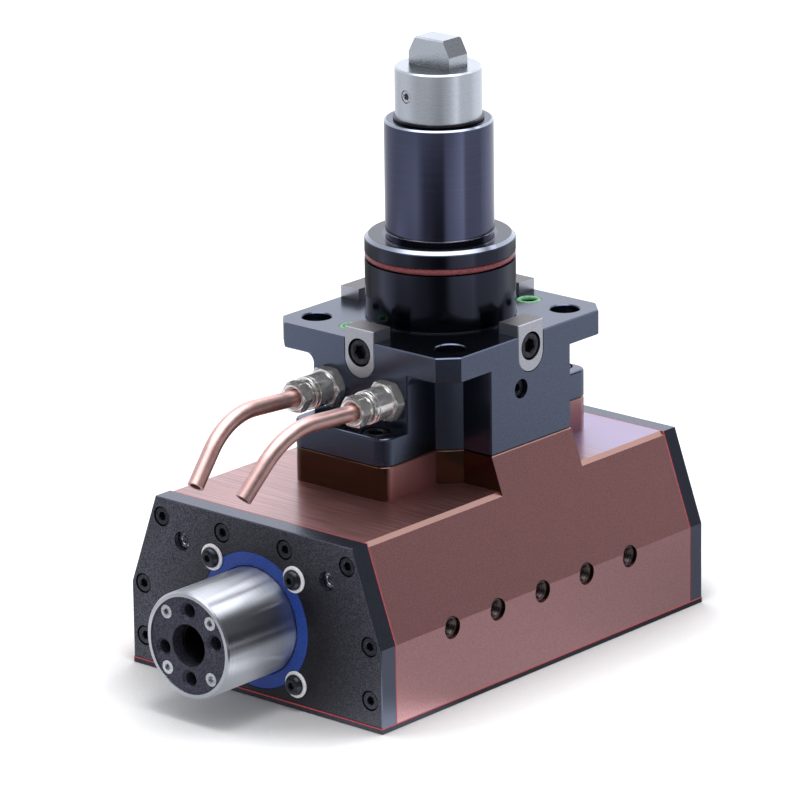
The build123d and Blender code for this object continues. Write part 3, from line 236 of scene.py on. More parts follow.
def grainFinish(tree, place, look):
    # colour, roughness and bump of a surface, all from one fine grain; ground, blasted and moulded grain is
    # about 0.1 mm or less on the real one, and grainMm draws it coarser so that it shows
    grain = addNode(tree, "ShaderNodeTexNoise", {"Scale": 1 / (look["grainMm"] * mm), "Detail": 2.0},
                    {"Vector": place}).outputs["Fac"]
    colour = addNode(tree, "ShaderNodeValToRGB", {}, {0: grain})
    setStops(colour, shadeSpan, look["shades"])
    smooth, rough = look["rough"]
    roughness = addNode(tree, "ShaderNodeMapRange", {"From Min": roughSpan[0], "From Max": roughSpan[1],
                                                     "To Min": smooth, "To Max": rough}, {"Value": grain})
    bump = addNode(tree, "ShaderNodeBump", {"Strength": look.get("bump", usualBump), "Distance": bumpDepth},
                   {"Height": grain})
    return colour.outputs[0], roughness.outputs[0], bump.outputs[0]


def aboutAxis(tree, place, look):
    # station along the axis and radius from it, and both as a place where a pattern runs in rings
    centre = (0, 0, -look.get("axisHeight", 0) * mm)
    centred = addNode(tree, "ShaderNodeMapping", {"Location": centre}, {"Vector": place})
    parts = addNode(tree, "ShaderNodeSeparateXYZ", {}, {0: centred.outputs[0]})
    sideways = [parts.outputs[a] for a in "XYZ" if a != look["axis"]]
    across = addNode(tree, "ShaderNodeCombineXYZ", {}, {0: sideways[0], 1: sideways[1]})
    radius = addNode(tree, "ShaderNodeVectorMath", {"operation": "LENGTH"},
                     {0: across.outputs[0]}).outputs["Value"]
    station = parts.outputs[look["axis"]]
    rings = addNode(tree, "ShaderNodeCombineXYZ", {}, {0: radius, 1: station})
    return station, radius, rings.outputs[0]


def bandShade(tree, shade, station, radius, band):
    # another shade on one stretch of a turned piece, given by its stations and radii in mm: a darker tone, a
    # painted highlight line or painted shade
    (low, high), (inner, outer), code = band
    edges = [addNode(tree, "ShaderNodeMath", {"operation": kind, 1: level * mm}, {0: value}).outputs[0]
             for value, kind, level in ((station, "GREATER_THAN", low), (station, "LESS_THAN", high),
                                        (radius, "GREATER_THAN", inner), (radius, "LESS_THAN", outer))]
    return addNode(tree, "ShaderNodeMix", {"data_type": "RGBA", 7: tint(code)},
                   {0: product(tree, edges), 6: shade}).outputs[2]


def metalMaterial(name, look):
    # a metal with a fine grain, in rings where it is turned, with bands of tone and painted light, and
    # another finish on a ground top face, which can also be painted darker as painted shade
    material, tree, shader, place = newMaterial(name)
    shader.inputs["Metallic"].default_value = look.get("metallic", 1.0)
    if "axis" in look:
        station, radius, place = aboutAxis(tree, place, look)
        # the fine turning lines stretch every reflection along the piece
        around = addNode(tree, "ShaderNodeTangent", {"direction_type": "RADIAL", "axis": look["axis"]})
        feed(tree, shader, {"Tangent": around.outputs[0]})
        shader.inputs["Anisotropic"].default_value = look["stretch"]
        shader.inputs["Anisotropic Rotation"].default_value = 0.25  # a quarter turn, across the lines
    shade, gloss, bump = grainFinish(tree, place, look)
    for band in look.get("toneAndPaintedLightBands", []):
        shade = bandShade(tree, shade, station, radius, band)
    if "topRough" in look:
        topMask = facingMask(tree, "Z", upward)
        gloss = addNode(tree, "ShaderNodeMix", {"data_type": "FLOAT", 3: look["topRough"]},
                        {0: topMask, 2: gloss}).outputs[0]
        # top faces painted darker: painted reflection of the dark parts above them
        if "topPaintedShade" in look:
            shade = addNode(tree, "ShaderNodeMix", {"data_type": "RGBA", 7: tint(look["topPaintedShade"])},
                            {0: topMask, 6: shade}).outputs[2]
    feed(tree, shader, {"Base Color": shade, "Roughness": gloss, "Normal": bump})
    return material


# Burnished alloy steel: the milled block has a black oxide skin, silky with a blue cast.
blockSteel = metalMaterial("burnishedSteel", {
    "shades": ("#555c6b", "#636a7b"), "rough": (0.2, 0.25), "grainMm": 0.5, "bump": 0.06, "topRough": 0.23})
# Black oxide on ground steel: nearly black, with sharp reflections and faint grinding rings. The collar is
# darker, and its foot and top chamfer, the sleeve's foot and its top edge carry painted highlights as
# bright lines.
shankSteel = metalMaterial("blackOxideGroundSteel", {
    "shades": ("#4a4d60", "#4f5267"), "rough": (0.14, 0.17), "grainMm": 0.4, "bump": 0.02,
    "axis": "Z", "stretch": 0.0,
    # the pale bands are painted highlights
    "toneAndPaintedLightBands": [((0, 149.9), (21, 30), "#33353f"), ((148.6, 149.75), (25.5, 30), "#9da3b0"),
              ((119.3, 119.8), (27, 30), "#aab0bc"), ((151.1, 151.6), (19.3, 21), "#f0f2f8"),
              ((191.9, 192.7), (19, 21), "#a4aab6")]})
# Ground tool steel: bright grey and satin with a fine grain, duller on its top faces, which are also
# painted darker as painted reflection of the dark parts they face.
groundSteel = metalMaterial("groundSteel", {
    "shades": ("#b2b3b8", "#cbccd1"), "rough": (0.3, 0.38), "grainMm": 0.5,
    "topRough": 0.42, "topPaintedShade": "#747170"})
# Turned and ground spindle steel: rings round the spindle's axis stretch the highlight along it, and the
# bore behind the nose plate is painted dark as painted shade.
spindleSteel = metalMaterial("turnedSteel", {
    "shades": ("#c8cbce", "#cfd2d5"), "rough": (0.29, 0.31), "grainMm": 0.5, "bump": 0.0,
    "axis": "Y", "axisHeight": spindleHeight, "stretch": 0.95,
    "toneAndPaintedLightBands": [((-134, -20), (0, 17.5), "#3c3c40")]})
# Turned coupling steel: the same rings round the upright axis.
couplingSteel = metalMaterial("turnedCouplingSteel", {
    "shades": ("#c4c9ce", "#c9cdd2"), "rough": (0.27, 0.28), "grainMm": 0.5, "bump": 0.0,
    "axis": "Z", "stretch": 0.4})
# Phosphated steel: a dark, speckled, crystalline skin.
phosphatedSteel = metalMaterial("phosphatedSteel", {
    "shades": ("#24242f", "#565666"), "rough": (0.4, 0.6), "grainMm": 0.45, "metallic": 0.6, "bump": 0.4})
# Black oxide fasteners: dark satin steel, a little worn.
blackScrew = metalMaterial("blackOxideScrewSteel", {
    "shades": ("#2c2d33", "#4a4b52"), "rough": (0.3, 0.42), "grainMm": 0.4, "metallic": 0.9})
# Bright zinc plate: pale, with a fine cloudy sheen.
zincPlate = metalMaterial("zincPlatedSteel", {
    "shades": ("#a9abae", "#d6d8da"), "rough": (0.18, 0.32), "grainMm": 0.8})
# Nickel-plated brass: a warm bright mirror.
nickelPlate = metalMaterial("nickelPlatedBrass", {
    "shades": ("#e2dfdc", "#f2f0ed"), "rough": (0.15, 0.21), "grainMm": 1.5, "metallic": 0.86, "bump": 0.06})
# Drawn copper pipe, handled: pink copper with duller patches.
copperPipe = metalMaterial("drawnCopper", {
    "shades": ("#dab2aa", "#e2beb6"), "rough": (0.38, 0.44), "grainMm": 3.0, "bump": 0.05})
# Dry-film lubricated thread insert: dark grey-brown steel, so the cut threads barely glint.
insertSteel = metalMaterial("dryLubedInsert", {
    "shades": ("#4a3f3e", "#6e605f"), "rough": (0.3, 0.4), "grainMm": 0.4})
# Polished bearing steel: a clean, nearly mirror-bright grey.
bearingSteel = metalMaterial("polishedBearingSteel", {
    "shades": ("#b3b5b8", "#cccdd0"), "rough": (0.1, 0.16), "grainMm": 1.0, "bump": 0.03})
# Machined brass: the cages are a warm satin yellow.
cageBrass = metalMaterial("machinedBrass", {
    "shades": ("#b08a45", "#cda65c"), "rough": (0.25, 0.35), "grainMm": 0.5})
# Case-hardened steel: the gears are an even, darker grey with a soft shine.
gearSteel = metalMaterial("caseHardenedSteel", {
    "shades": ("#6d6f72", "#8d8f92"), "rough": (0.28, 0.38), "grainMm": 0.5})
# Burnished sheet steel: the thin base plate shows as a dull black line.
basePlate = metalMaterial("burnishedSheetSteel", {
    "shades": ("#26262c", "#3a3a42"), "rough": (0.35, 0.5), "grainMm": 0.5, "metallic": 0.8})


def softMaterial(name, look):
    # a plastic or rubber whose moulded surface is a fine uneven grain
    material, tree, shader, place = newMaterial(name)
    shader.inputs["IOR"].default_value = look["ior"]
    shade, gloss, bump = grainFinish(tree, place, look)
    feed(tree, shader, {"Base Color": shade, "Roughness": gloss, "Normal": bump})
    return material


# Moulded acetal: dense blue, a slight waxy sheen.
blueAcetal = softMaterial("mouldedAcetal", {
    "shades": ("#11307f", "#1c459c"), "rough": (0.45, 0.58), "ior": 1.48, "grainMm": 0.5})
# Moulded nylon washers: off-white, slightly glossy.
whiteNylon = softMaterial("mouldedNylon", {
    "shades": ("#d9d8de", "#f0eff3"), "rough": (0.35, 0.45), "ior": 1.53, "grainMm": 0.8})
# Fibre gasket sheet: red, dull, fibrous at its cut edge.
redGasket = softMaterial("fibreGasket", {
    "shades": ("#a83a44", "#c9565c"), "rough": (0.6, 0.8), "ior": 1.5, "grainMm": 0.6})
# Silicone rubber rings: soft sheen, even colour with a few dusty spots.
redRubber = softMaterial("siliconeRubber", {
    "shades": ("#6b363b", "#87494d"), "rough": (0.25, 0.35), "ior": 1.42, "grainMm": 0.7})
# Fluorinated rubber rings: pale green and matt.
greenRubber = softMaterial("fluorinatedRubber", {
    "shades": ("#5faa72", "#8fc79b"), "rough": (0.35, 0.5), "ior": 1.42, "grainMm": 0.7})
# Nitrile rubber: the lip seal is black and dull.
blackRubber = softMaterial("nitrileRubber", {
    "shades": ("#1c1c1e", "#2c2c2f"), "rough": (0.5, 0.65), "ior": 1.5, "grainMm": 0.7})


# a new piece is turned about +Z, with z = 0 at the face that it is sunk in or stands on, and then faces
# one of these ways
facings = {"up": Matrix.Identity(4), "front": Matrix.Rotation(pi / 2, 4, "X"),
           "rear": Matrix.Rotation(-pi / 2, 4, "X"), "right": Matrix.Rotation(pi / 2, 4, "Y"),
           "left": Matrix.Rotation(-pi / 2, 4, "Y")}
diagonals = [(sin(radians(a)), cos(radians(a))) for a in (45, 135, 225, 315)]
tiny = 1e-6  # metres, between points that should coincide
creaseAngle = radians(35)  # edges sharper than this stay crisp
usualSides = 48


def activate(piece):
    bpy.ops.object.select_all(action="DESELECT")
    piece.select_set(True)
    bpy.context.view_layer.objects.active = piece


def turned(name, outline, sides):
    # turns an outline of (radius, height) in mm about +Z, from the bottom up; a closed outline makes a ring
    ring = outline[0] == outline[-1]
    bpy.ops.object.select_all(action="DESELECT")
    radius, height = outline[0]
    bpy.ops.mesh.primitive_circle_add(vertices=sides, radius=radius * mm, location=(0, 0, height * mm),
                                      fill_type="NOTHING" if ring else "NGON")
    piece = bpy.context.object
    piece.name = name
    bpy.ops.object.transform_apply(location=True, rotation=False, scale=False)
    bpy.ops.object.mode_set(mode="EDIT")
    bpy.ops.mesh.select_all(action="SELECT")
    for nextRadius, nextHeight in outline[1:]:
        bpy.ops.mesh.extrude_region_move(TRANSFORM_OT_translate={"value": (0, 0, (nextHeight - height) * mm)})
        share = nextRadius / radius
        bpy.ops.transform.resize(value=(share, share, 1), center_override=(0, 0, nextHeight * mm))
        radius, height = nextRadius, nextHeight
    bpy.ops.mesh.select_all(action="SELECT")
    bpy.ops.mesh.remove_doubles(threshold=tiny)
    bpy.ops.mesh.normals_make_consistent(inside=False)
    bpy.ops.object.mode_set(mode="OBJECT")
    return piece


def cutHexagon(piece, across, low, high, operation="DIFFERENCE"):
    # a hexagonal prism, in mm across its flats, that cuts a socket or leaves a hexagon head
    bpy.ops.object.select_all(action="DESELECT")
    bpy.ops.mesh.primitive_cylinder_add(vertices=6, radius=across / sqrt(3) * mm, depth=(high - low) * mm,
                                        location=(0, 0, (low + high) / 2 * mm), rotation=(0, 0, radians(30)))
    cutter = bpy.context.object
    boolean = piece.modifiers.new("hexagon", "BOOLEAN")
    boolean.operation = operation
    boolean.object = cutter
    activate(piece)
    bpy.ops.object.modifier_apply(modifier=boolean.name)
    bpy.data.objects.remove(cutter)


def knurl(piece, sides, low, high, depth):
    # pushes in every second upright edge of the head
    activate(piece)
    bpy.ops.object.mode_set(mode="EDIT")
    bpy.ops.mesh.select_all(action="DESELECT")
    bpy.ops.object.mode_set(mode="OBJECT")
    widest = max(Vector(v.co[:2]).length for v in piece.data.vertices)
    for vertex in piece.data.vertices:
        flat = Vector(vertex.co[:2])
        angle = Vector((0, 1)).angle_signed(flat) if flat.length > tiny else 0
        step = round(angle / (2 * pi / sides))
        inBand = low * mm - tiny < vertex.co.z < high * mm + tiny
        atRim = flat.length > widest * 0.9
        vertex.select = inBand and atRim and step % 2 == 0
    bpy.ops.object.mode_set(mode="EDIT")
    share = 1 - depth * mm / widest
    bpy.ops.transform.resize(value=(share, share, 1), center_override=(0, 0, 0))
    bpy.ops.object.mode_set(mode="OBJECT")


def copies(piece, name, spots):
    # spots: (x, y, z) in mm, a facing, and a turn about the piece's own axis in degrees
    made = []
    for x, y, z, facing, turn in spots:
        twin = piece.copy()
        twin.data = piece.data.copy()
        bpy.context.collection.objects.link(twin)
        twin.data.transform(Matrix.Translation((x * mm, y * mm, z * mm)) @ facings[facing]
                            @ Matrix.Rotation(radians(turn), 4, "Z"))
        made.append(twin)
    bpy.data.objects.remove(piece)
    activate(made[0])
    for twin in made[1:]:
        twin.select_set(True)
    if len(made) > 1:
        bpy.ops.object.join()
    made[0].name = name
    return made[0]


def dress(piece, body, node, material):
    activate(piece)
    bpy.ops.object.shade_smooth_by_angle(angle=creaseAngle)
    piece.data.materials.clear()
    piece.data.materials.append(material)
    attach(piece, body)
    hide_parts(node)


def makePiece(name, body, node, look, spots):
    # outline as for turned; knurl: from, to and depth; hexagon: across its flats, from and to, which cuts a
    # socket, or leaves a hexagon head where it ends in INTERSECT; all in mm
    blank = turned(name + "Blank", look["outline"], look.get("sides", usualSides))
    if "knurl" in look:
        knurl(blank, look["sides"], *look["knurl"])
    if "hexagon" in look:
        cutHexagon(blank, *look["hexagon"])
    dress(copies(blank, name, spots), body, node, look["finish"])


print("cover screws")
# M4 cap screws, sunk in the counterbores of both covers
coverScrew = {
    "outline": [(1.6, -16.0), (2.0, -15.5), (2.0, -4.0), (3.5, -4.0), (3.5, -0.55), (3.4, -0.25), (3.1, 0.0),
                (1.95, 0.0), (1.7, -0.2)],
    "hexagon": (3.0, -2.0, 1.0), "sunk": 0.3, "frontTurn": 17, "rearTurn": 23,  # degrees from screw to screw
    "places": [(44.4, 58.8), (15.0, 58.8), (54.3, 31.3), (54.3, 11.3)],
    "slot": "black_screw", "finish": blackScrew,
}
coverPlaces = coverScrew["places"] + [(-x, z) for x, z in coverScrew["places"]]
makePiece("frontCoverScrews", "holder", "front_cover_screws", coverScrew,
          [(x, frontFace + coverScrew["sunk"], z, "front", coverScrew["frontTurn"] * i)
           for i, (x, z) in enumerate(coverPlaces)])
makePiece("rearCoverScrews", "holder", "rear_cover_screws", coverScrew,
          [(x, rearFace - coverScrew["sunk"], z, "rear", coverScrew["rearTurn"] * i)
           for i, (x, z) in enumerate(coverPlaces)])

print("plug screws")
# bright set screws deep in the front cover
plugScrew = {
    "outline": [(2.9, -5.0), (3.48, -4.5), (3.48, -0.6), (3.3, -0.25), (2.9, 0.0), (1.95, 0.0), (1.7, -0.25)],
    "hexagon": (3.0, -2.5, 1.0), "sunk": 2.2, "out": 34.8, "height": 51.4, "turns": (12, 48),
    "slot": "zinc_screw", "finish": zincPlate,
}
makePiece("plugScrews", "holder", "front_plug_screws", plugScrew,
          [(side * plugScrew["out"], frontFace + plugScrew["sunk"], plugScrew["height"], "front", turn)
           for side, turn in zip((1, -1), plugScrew["turns"])])

print("seal ring")
# the ring's edges are eased, so that its rim catches a line of light
sealRing = {
    "outline": [(19.95, -5.8), (25.4, -5.8), (25.4, -0.3), (25.1, 0.0), (20.4, 0.0), (19.95, -0.45),
                (19.95, -5.8)],
    "sides": 128, "slot": "blue_seal", "finish": blueAcetal,
}
makePiece("sealRing", "holder", "seal_ring", sealRing, [(0, frontFace, spindleHeight, "front", 0)])

# washers and domed screws that clamp the ring, on the diagonals of a circle round it
sealWasher = {
    "outline": [(2.2, 0.0), (4.75, 0.0), (4.9, 0.15), (4.9, 0.65), (4.75, 0.8), (2.2, 0.8), (2.2, 0.0)],
    "thick": 0.8, "circle": 27.8, "slot": "white_washer", "finish": whiteNylon,
}
clampPlaces = [(sealWasher["circle"] * x, spindleHeight + sealWasher["circle"] * z) for x, z in diagonals]
makePiece("sealWashers", "holder", "seal_clamp_washers", sealWasher,
          [(x, frontFace, z, "front", 0) for x, z in clampPlaces])
clampScrew = {
    "outline": [(1.7, -6.5), (2.0, -6.1), (2.0, 0.0), (3.7, 0.0), (3.8, 0.15), (3.78, 0.5), (3.6, 1.1),
                (3.2, 1.75), (2.75, 2.15), (2.3, 2.28), (1.7, 2.3), (1.5, 2.15)],
    "hexagon": (2.5, 0.9, 3.0), "turn": 25, "slot": "black_screw", "finish": blackScrew,
}
makePiece("sealClampScrews", "holder", "seal_clamp_screws", clampScrew,
          [(x, frontFace - sealWasher["thick"], z, "front", clampScrew["turn"] * i)
           for i, (x, z) in enumerate(clampPlaces)])

print("nose screws")
# small countersunk screws, flush with the nose plate
noseScrew = {
    "outline": [(1.2, -12.0), (1.5, -11.6), (1.5, -1.1), (2.5, -0.1), (2.5, 0.0), (1.35, 0.0), (1.1, -0.2)],
    "hexagon": (2.0, -1.0, 1.0), "circle": 14.7, "turn": 20, "slot": "zinc_screw", "finish": zincPlate,
}
makePiece("noseScrews", "spindle_group", "nose_screws", noseScrew,
          [(noseScrew["circle"] * x, noseFace, spindleHeight + noseScrew["circle"] * z, "front",
            noseScrew["turn"] * i) for i, (x, z) in enumerate(diagonals)])

print("key and foot screws")
# M6 cap screws with knurled heads
capScrew = {"sides": 60, "knurl": (-5.5, -0.3, 0.22), "hexagon": (5.0, -3.0, 1.0),
            "slot": "black_screw", "finish": blackScrew}
capHead = [(3.0, -6.0), (5.0, -6.0), (5.0, -0.9), (4.9, -0.4), (4.45, 0.0), (3.2, 0.0), (2.8, -0.3)]
keyScrew = capScrew | {
    "outline": [(2.5, -20.0), (3.0, -19.5)] + capHead, "sunk": 0.4, "height": 114.8,
    "turns": {"front": 12, "rear": 40, "right": 5, "left": 33},
}
keyX = keySide - keyScrew["sunk"]
keyY = -keyFront - keyScrew["sunk"]
keyPlaces = {"front": (0, -keyY), "rear": (0, keyY), "right": (keyX, 0), "left": (-keyX, 0)}
makePiece("keyScrews", "holder", "key_screws", keyScrew,
          [(x, y, keyScrew["height"], facing, keyScrew["turns"][facing])
           for facing, (x, y) in keyPlaces.items()])
footScrew = capScrew | {
    "outline": [(2.5, -22.0), (3.0, -21.5)] + capHead, "out": 13.0, "along": 51.3,
    "turns": {(-1, -1): -27, (-1, 1): -13, (1, -1): 13, (1, 1): 27},
}
makePiece("footScrews", "holder", "adapter_screws", footScrew,
          [(x * footScrew["out"], y * footScrew["along"], footScrewTop, "up", turn)
           for (x, y), turn in footScrew["turns"].items()])

print("thread inserts")
# M6 thread inserts with their cut threads, five a side
threadInsert = {
    "radius": 4.1, "mouth": 3.2, "bore": 2.65, "root": 3.05, "length": 12.0, "pitch": 1.0, "threads": 11,
    "lead": 0.5, "edge": 0.25, "bevel": 0.3, "foot": 0.4, "stations": (-65, -40, -15, 10, 35),
    "sides": 32, "slot": "thread_insert", "finish": insertSteel,
}
insertOutline = [(threadInsert["mouth"], 0.0), (threadInsert["radius"] - threadInsert["edge"], 0.0),
                 (threadInsert["radius"], -threadInsert["bevel"]),
                 (threadInsert["radius"], -threadInsert["length"]),
                 (threadInsert["bore"] + threadInsert["edge"], -threadInsert["length"]),
                 (threadInsert["bore"], threadInsert["foot"] - threadInsert["length"])]
for i in reversed(range(threadInsert["threads"])):
    top = -threadInsert["lead"] - i * threadInsert["pitch"]
    insertOutline += [(threadInsert["root"], top - threadInsert["pitch"] / 2), (threadInsert["bore"], top)]
threadInsert["outline"] = insertOutline + insertOutline[:1]
makePiece("threadInserts", "holder", "side_thread_inserts", threadInsert,
          [(side * insertFace, y, spindleHeight, facing, 0) for side, facing in ((1, "right"), (-1, "left"))
           for y in threadInsert["stations"]])

print("coolant fittings")
# hexagon bodies with a ringed neck, and the clamping nuts that hold the pipes
fittingBody = {
    "outline": [(4.4, -9.0), (4.9, -8.5), (4.9, -1.2), (4.3, -0.9), (4.3, 0.0), (6.9, 0.0), (7.75, 0.5),
                (7.75, 3.5), (6.9, 4.0), (6.05, 4.0), (6.05, 4.5), (6.2, 4.7), (6.2, 11.6), (5.95, 11.8),
                (5.95, 12.2), (6.2, 12.4), (6.2, 13.4), (5.9, 13.7), (5.2, 13.7), (4.95, 13.3), (4.95, 12.6)],
    "hexagon": (13.5, -10.0, 15.0, "INTERSECT"), "sides": 72, "out": 14.1,
    "slot": "nickel_fitting", "finish": nickelPlate,
}
fittingSpots = [(side * fittingBody["out"], keyFront, coolantHeight, "front", 0) for side in (-1, 1)]
makePiece("fittingBodies", "holder", "fitting_bodies", fittingBody, fittingSpots)
fittingNut = {
    "outline": [(3.05, 11.0), (4.7, 11.0), (4.7, 14.1), (4.35, 14.3), (4.35, 14.7), (4.9, 14.9), (4.9, 15.9),
                (5.3, 16.1), (6.1, 16.6), (6.1, 19.8), (5.2, 20.4), (4.15, 20.4), (3.95, 20.25), (3.05, 19.4),
                (3.05, 11.0)],
    "hexagon": (10.6, 10.0, 21.0, "INTERSECT"), "sides": 72, "slot": "nickel_fitting", "finish": nickelPlate,
}
makePiece("fittingNuts", "holder", "fitting_nuts", fittingNut, fittingSpots)

print("set screws")
# one closes the side channel of the block, and one holds the coupling on its shaft
sidePlug = {
    "outline": [(3.1, -5.0), (3.6, -4.5), (3.6, -0.5), (3.25, 0.0), (2.0, 0.0), (1.7, -0.3)],
    "hexagon": (3.0, -2.5, 1.0), "sunk": 1.8, "along": -5.6, "turn": 10,
    "slot": "black_screw", "finish": blackScrew,
}
makePiece("sidePlug", "holder", "coolant_plug_screw", sidePlug,
          [(keySide - sidePlug["sunk"], sidePlug["along"], coolantHeight, "right", sidePlug["turn"])])
setScrew = {
    "outline": [(1.9, -6.8), (2.4, -6.4), (2.4, -0.4), (2.1, 0.0), (1.4, 0.0), (1.15, -0.2)],
    "hexagon": (2.1, -2.5, 1.0), "out": 15.45, "height": 203.0, "azimuth": -97.5, "turn": 15,
    "slot": "zinc_screw", "finish": zincPlate,
}
spin = radians(setScrew["azimuth"])
facings["coupling"] = Matrix.Rotation(spin, 4, "Z") @ facings["right"]
makePiece("couplingSetScrew", "input_group", "coupling_screw", setScrew,
          [(setScrew["out"] * cos(spin), setScrew["out"] * sin(spin), setScrew["height"], "coupling",
            setScrew["turn"])])

print("finishes")
# the nodes that stay as the solids give them; the bearings' rings, balls and cages are named by the loop
finishes = {
    "housing": anodisedHousing, "front_cover": blackCover, "rear_cover": blackCover,
    "front_gasket": redGasket, "rear_gasket": redGasket, "base_gasket": redGasket,
    "base_plate": basePlate, "base_plate_screws": blackScrew, "adapter_block": blockSteel,
    "location_keys": groundSteel, "shank": shankSteel, "shank_o_ring": redRubber,
    "coolant_o_rings": greenRubber, "coolant_pipe_left": copperPipe, "coolant_pipe_right": copperPipe,
    "spindle": spindleSteel, "nose_plate": phosphatedSteel, "drive_coupling": couplingSteel,
    "dust_ring": blackScrew, "input_shaft": groundSteel, "input_seal": blackRubber, "bevel_gear": gearSteel,
    "bevel_pinion": gearSteel, "gear_key": groundSteel, "pinion_key": groundSteel,
    "pinion_screw": blackScrew, "gear_spacer": groundSteel, "bearing_nut": groundSteel,
    "rear_nut": groundSteel,
}
for name, node in nodes.items():
    if node.hide_render:
        continue
    material = finishes.get(name, cageBrass if name.endswith("_cage") else bearingSteel)
    for slot in node.material_slots:
        slot.material = material
    if not node.material_slots:
        node.data.materials.append(material)

print("studio")
headroom = 2.0  # a colour ramp ends at 1, so the cards' brightness is halved on it and doubled after it
studioCast = (0.97, 0.99, 1.07, 1)  # what metal mirrors is a little blue


def cardRamp(tree, share, cards, low, high):
    # cards: (angle in degrees, brightness) along a ramp that runs from the low to the high angle
    ramp = addNode(tree, "ShaderNodeValToRGB", {}, {0: share})
    setStops(ramp, [(angle - low) / (high - low) for angle, level in cards],
             [level / headroom for angle, level in cards])
    return ramp.outputs[0]


def azimuthOf(tree, direction):
    # a direction's azimuth in radians, the same as a share of the circle from -180 to 180 degrees, and its
    # rise; azimuth 0 is +X and grows towards +Y
    parts = addNode(tree, "ShaderNodeSeparateXYZ", {}, {0: direction})
    turn = addNode(tree, "ShaderNodeMath", {"operation": "ARCTAN2"},
                   {0: parts.outputs["Y"], 1: parts.outputs["X"]}).outputs[0]
    share = addNode(tree, "ShaderNodeMath", {"operation": "MULTIPLY_ADD", 1: 0.5 / pi, 2: 0.5}, {0: turn})
    return turn, share.outputs[0], parts.outputs["Z"]


def window(tree, edges):
    # 1 inside soft edges; each edge: a value, and the angles in degrees where it starts and is full
    return product(tree, [addNode(tree, "ShaderNodeMapRange",
                                  {"interpolation_type": "SMOOTHSTEP", "From Min": radians(start),
                                   "From Max": radians(full)}, {"Value": value}).outputs[0]
                          for value, start, full in edges])


def byRay(tree, plain, cards, emitter, seen):
    # metal mirrors the cards, the camera sees a clean ground, and all other light is plain
    cast = addNode(tree, "ShaderNodeMix",
                   {"data_type": "RGBA", "blend_type": "MULTIPLY", 0: 1.0, 7: studioCast}, {6: cards})
    mirrored = addNode(tree, emitter, {"Strength": headroom}, {"Color": cast.outputs[2]})
    path = addNode(tree, "ShaderNodeLightPath")
    inner = addNode(tree, "ShaderNodeMixShader", {},
                    {0: path.outputs["Is Glossy Ray"], 1: plain.outputs[0], 2: mirrored.outputs[0]})
    return addNode(tree, "ShaderNodeMixShader", {},
                   {0: path.outputs["Is Camera Ray"], 1: inner.outputs[0], 2: seen.outputs[0]}).outputs[0]


# The sky that metal mirrors: pale cards by azimuth, a dark flag by elevation that hides them between
# flagFrom and flagTo, a bright cloth overhead, and one softbox. Angles are in degrees, and each edge has
# the angle where it starts and the angle where it is full.
skyLook = {
    "level": 0.85,
    "cards": [(-180, 0.9), (-140, 0.8), (60, 1.2), (92, 1.4), (104, 1.5), (115, 1.45), (132, 1.3),
              (150, 1.25), (180, 0.9)],
    "flag": [(0, 0.06), (13, 0.06), (18, 0.15), (50, 0.16), (90, 0.16)],
    "flagFrom": (-160, -140), "flagTo": (66, 56),
    "overhead": (44, 64), "overheadLevel": 3.4,
    "boxAzimuth": ((58, 66), (100, 92)), "boxElevation": ((38, 43), (60, 52)), "boxLevel": 2.6,
}
world = bpy.data.worlds.new("studioSky")
bpy.context.scene.world = world
world.use_nodes = True
tree = world.node_tree
tree.nodes.clear()
direction = addNode(tree, "ShaderNodeTexCoord").outputs["Generated"]
turn, share, rise = azimuthOf(tree, direction)
climb = addNode(tree, "ShaderNodeMath", {"operation": "ARCSINE"}, {0: rise}).outputs[0]
height = addNode(tree, "ShaderNodeMath", {"operation": "MULTIPLY", 1: 2 / pi}, {0: climb}).outputs[0]
sector = window(tree, [(turn, *skyLook["flagFrom"]), (turn, *skyLook["flagTo"])])
cards = addNode(tree, "ShaderNodeMix", {"data_type": "RGBA"},
                {0: sector, 6: cardRamp(tree, share, skyLook["cards"], -180, 180),
                 7: cardRamp(tree, height, skyLook["flag"], 0, 90)}).outputs[2]
overhead = [(climb, *skyLook["overhead"])]
softbox = ([(turn, *edge) for edge in skyLook["boxAzimuth"]]
           + [(climb, *edge) for edge in skyLook["boxElevation"]])
for edges, level in ((overhead, skyLook["overheadLevel"]), (softbox, skyLook["boxLevel"])):
    cards = addNode(tree, "ShaderNodeMix", {"data_type": "RGBA", 7: grey(level / headroom)},
                    {0: window(tree, edges), 6: cards}).outputs[2]
soft = addNode(tree, "ShaderNodeBackground", {"Color": tint("#ffffff"), "Strength": skyLook["level"]})
seen = addNode(tree, "ShaderNodeBackground", {"Color": tint("#ffffff"), "Strength": 1.0})
addNode(tree, "ShaderNodeOutputWorld", {}, {0: byRay(tree, soft, cards, "ShaderNodeBackground", seen)})

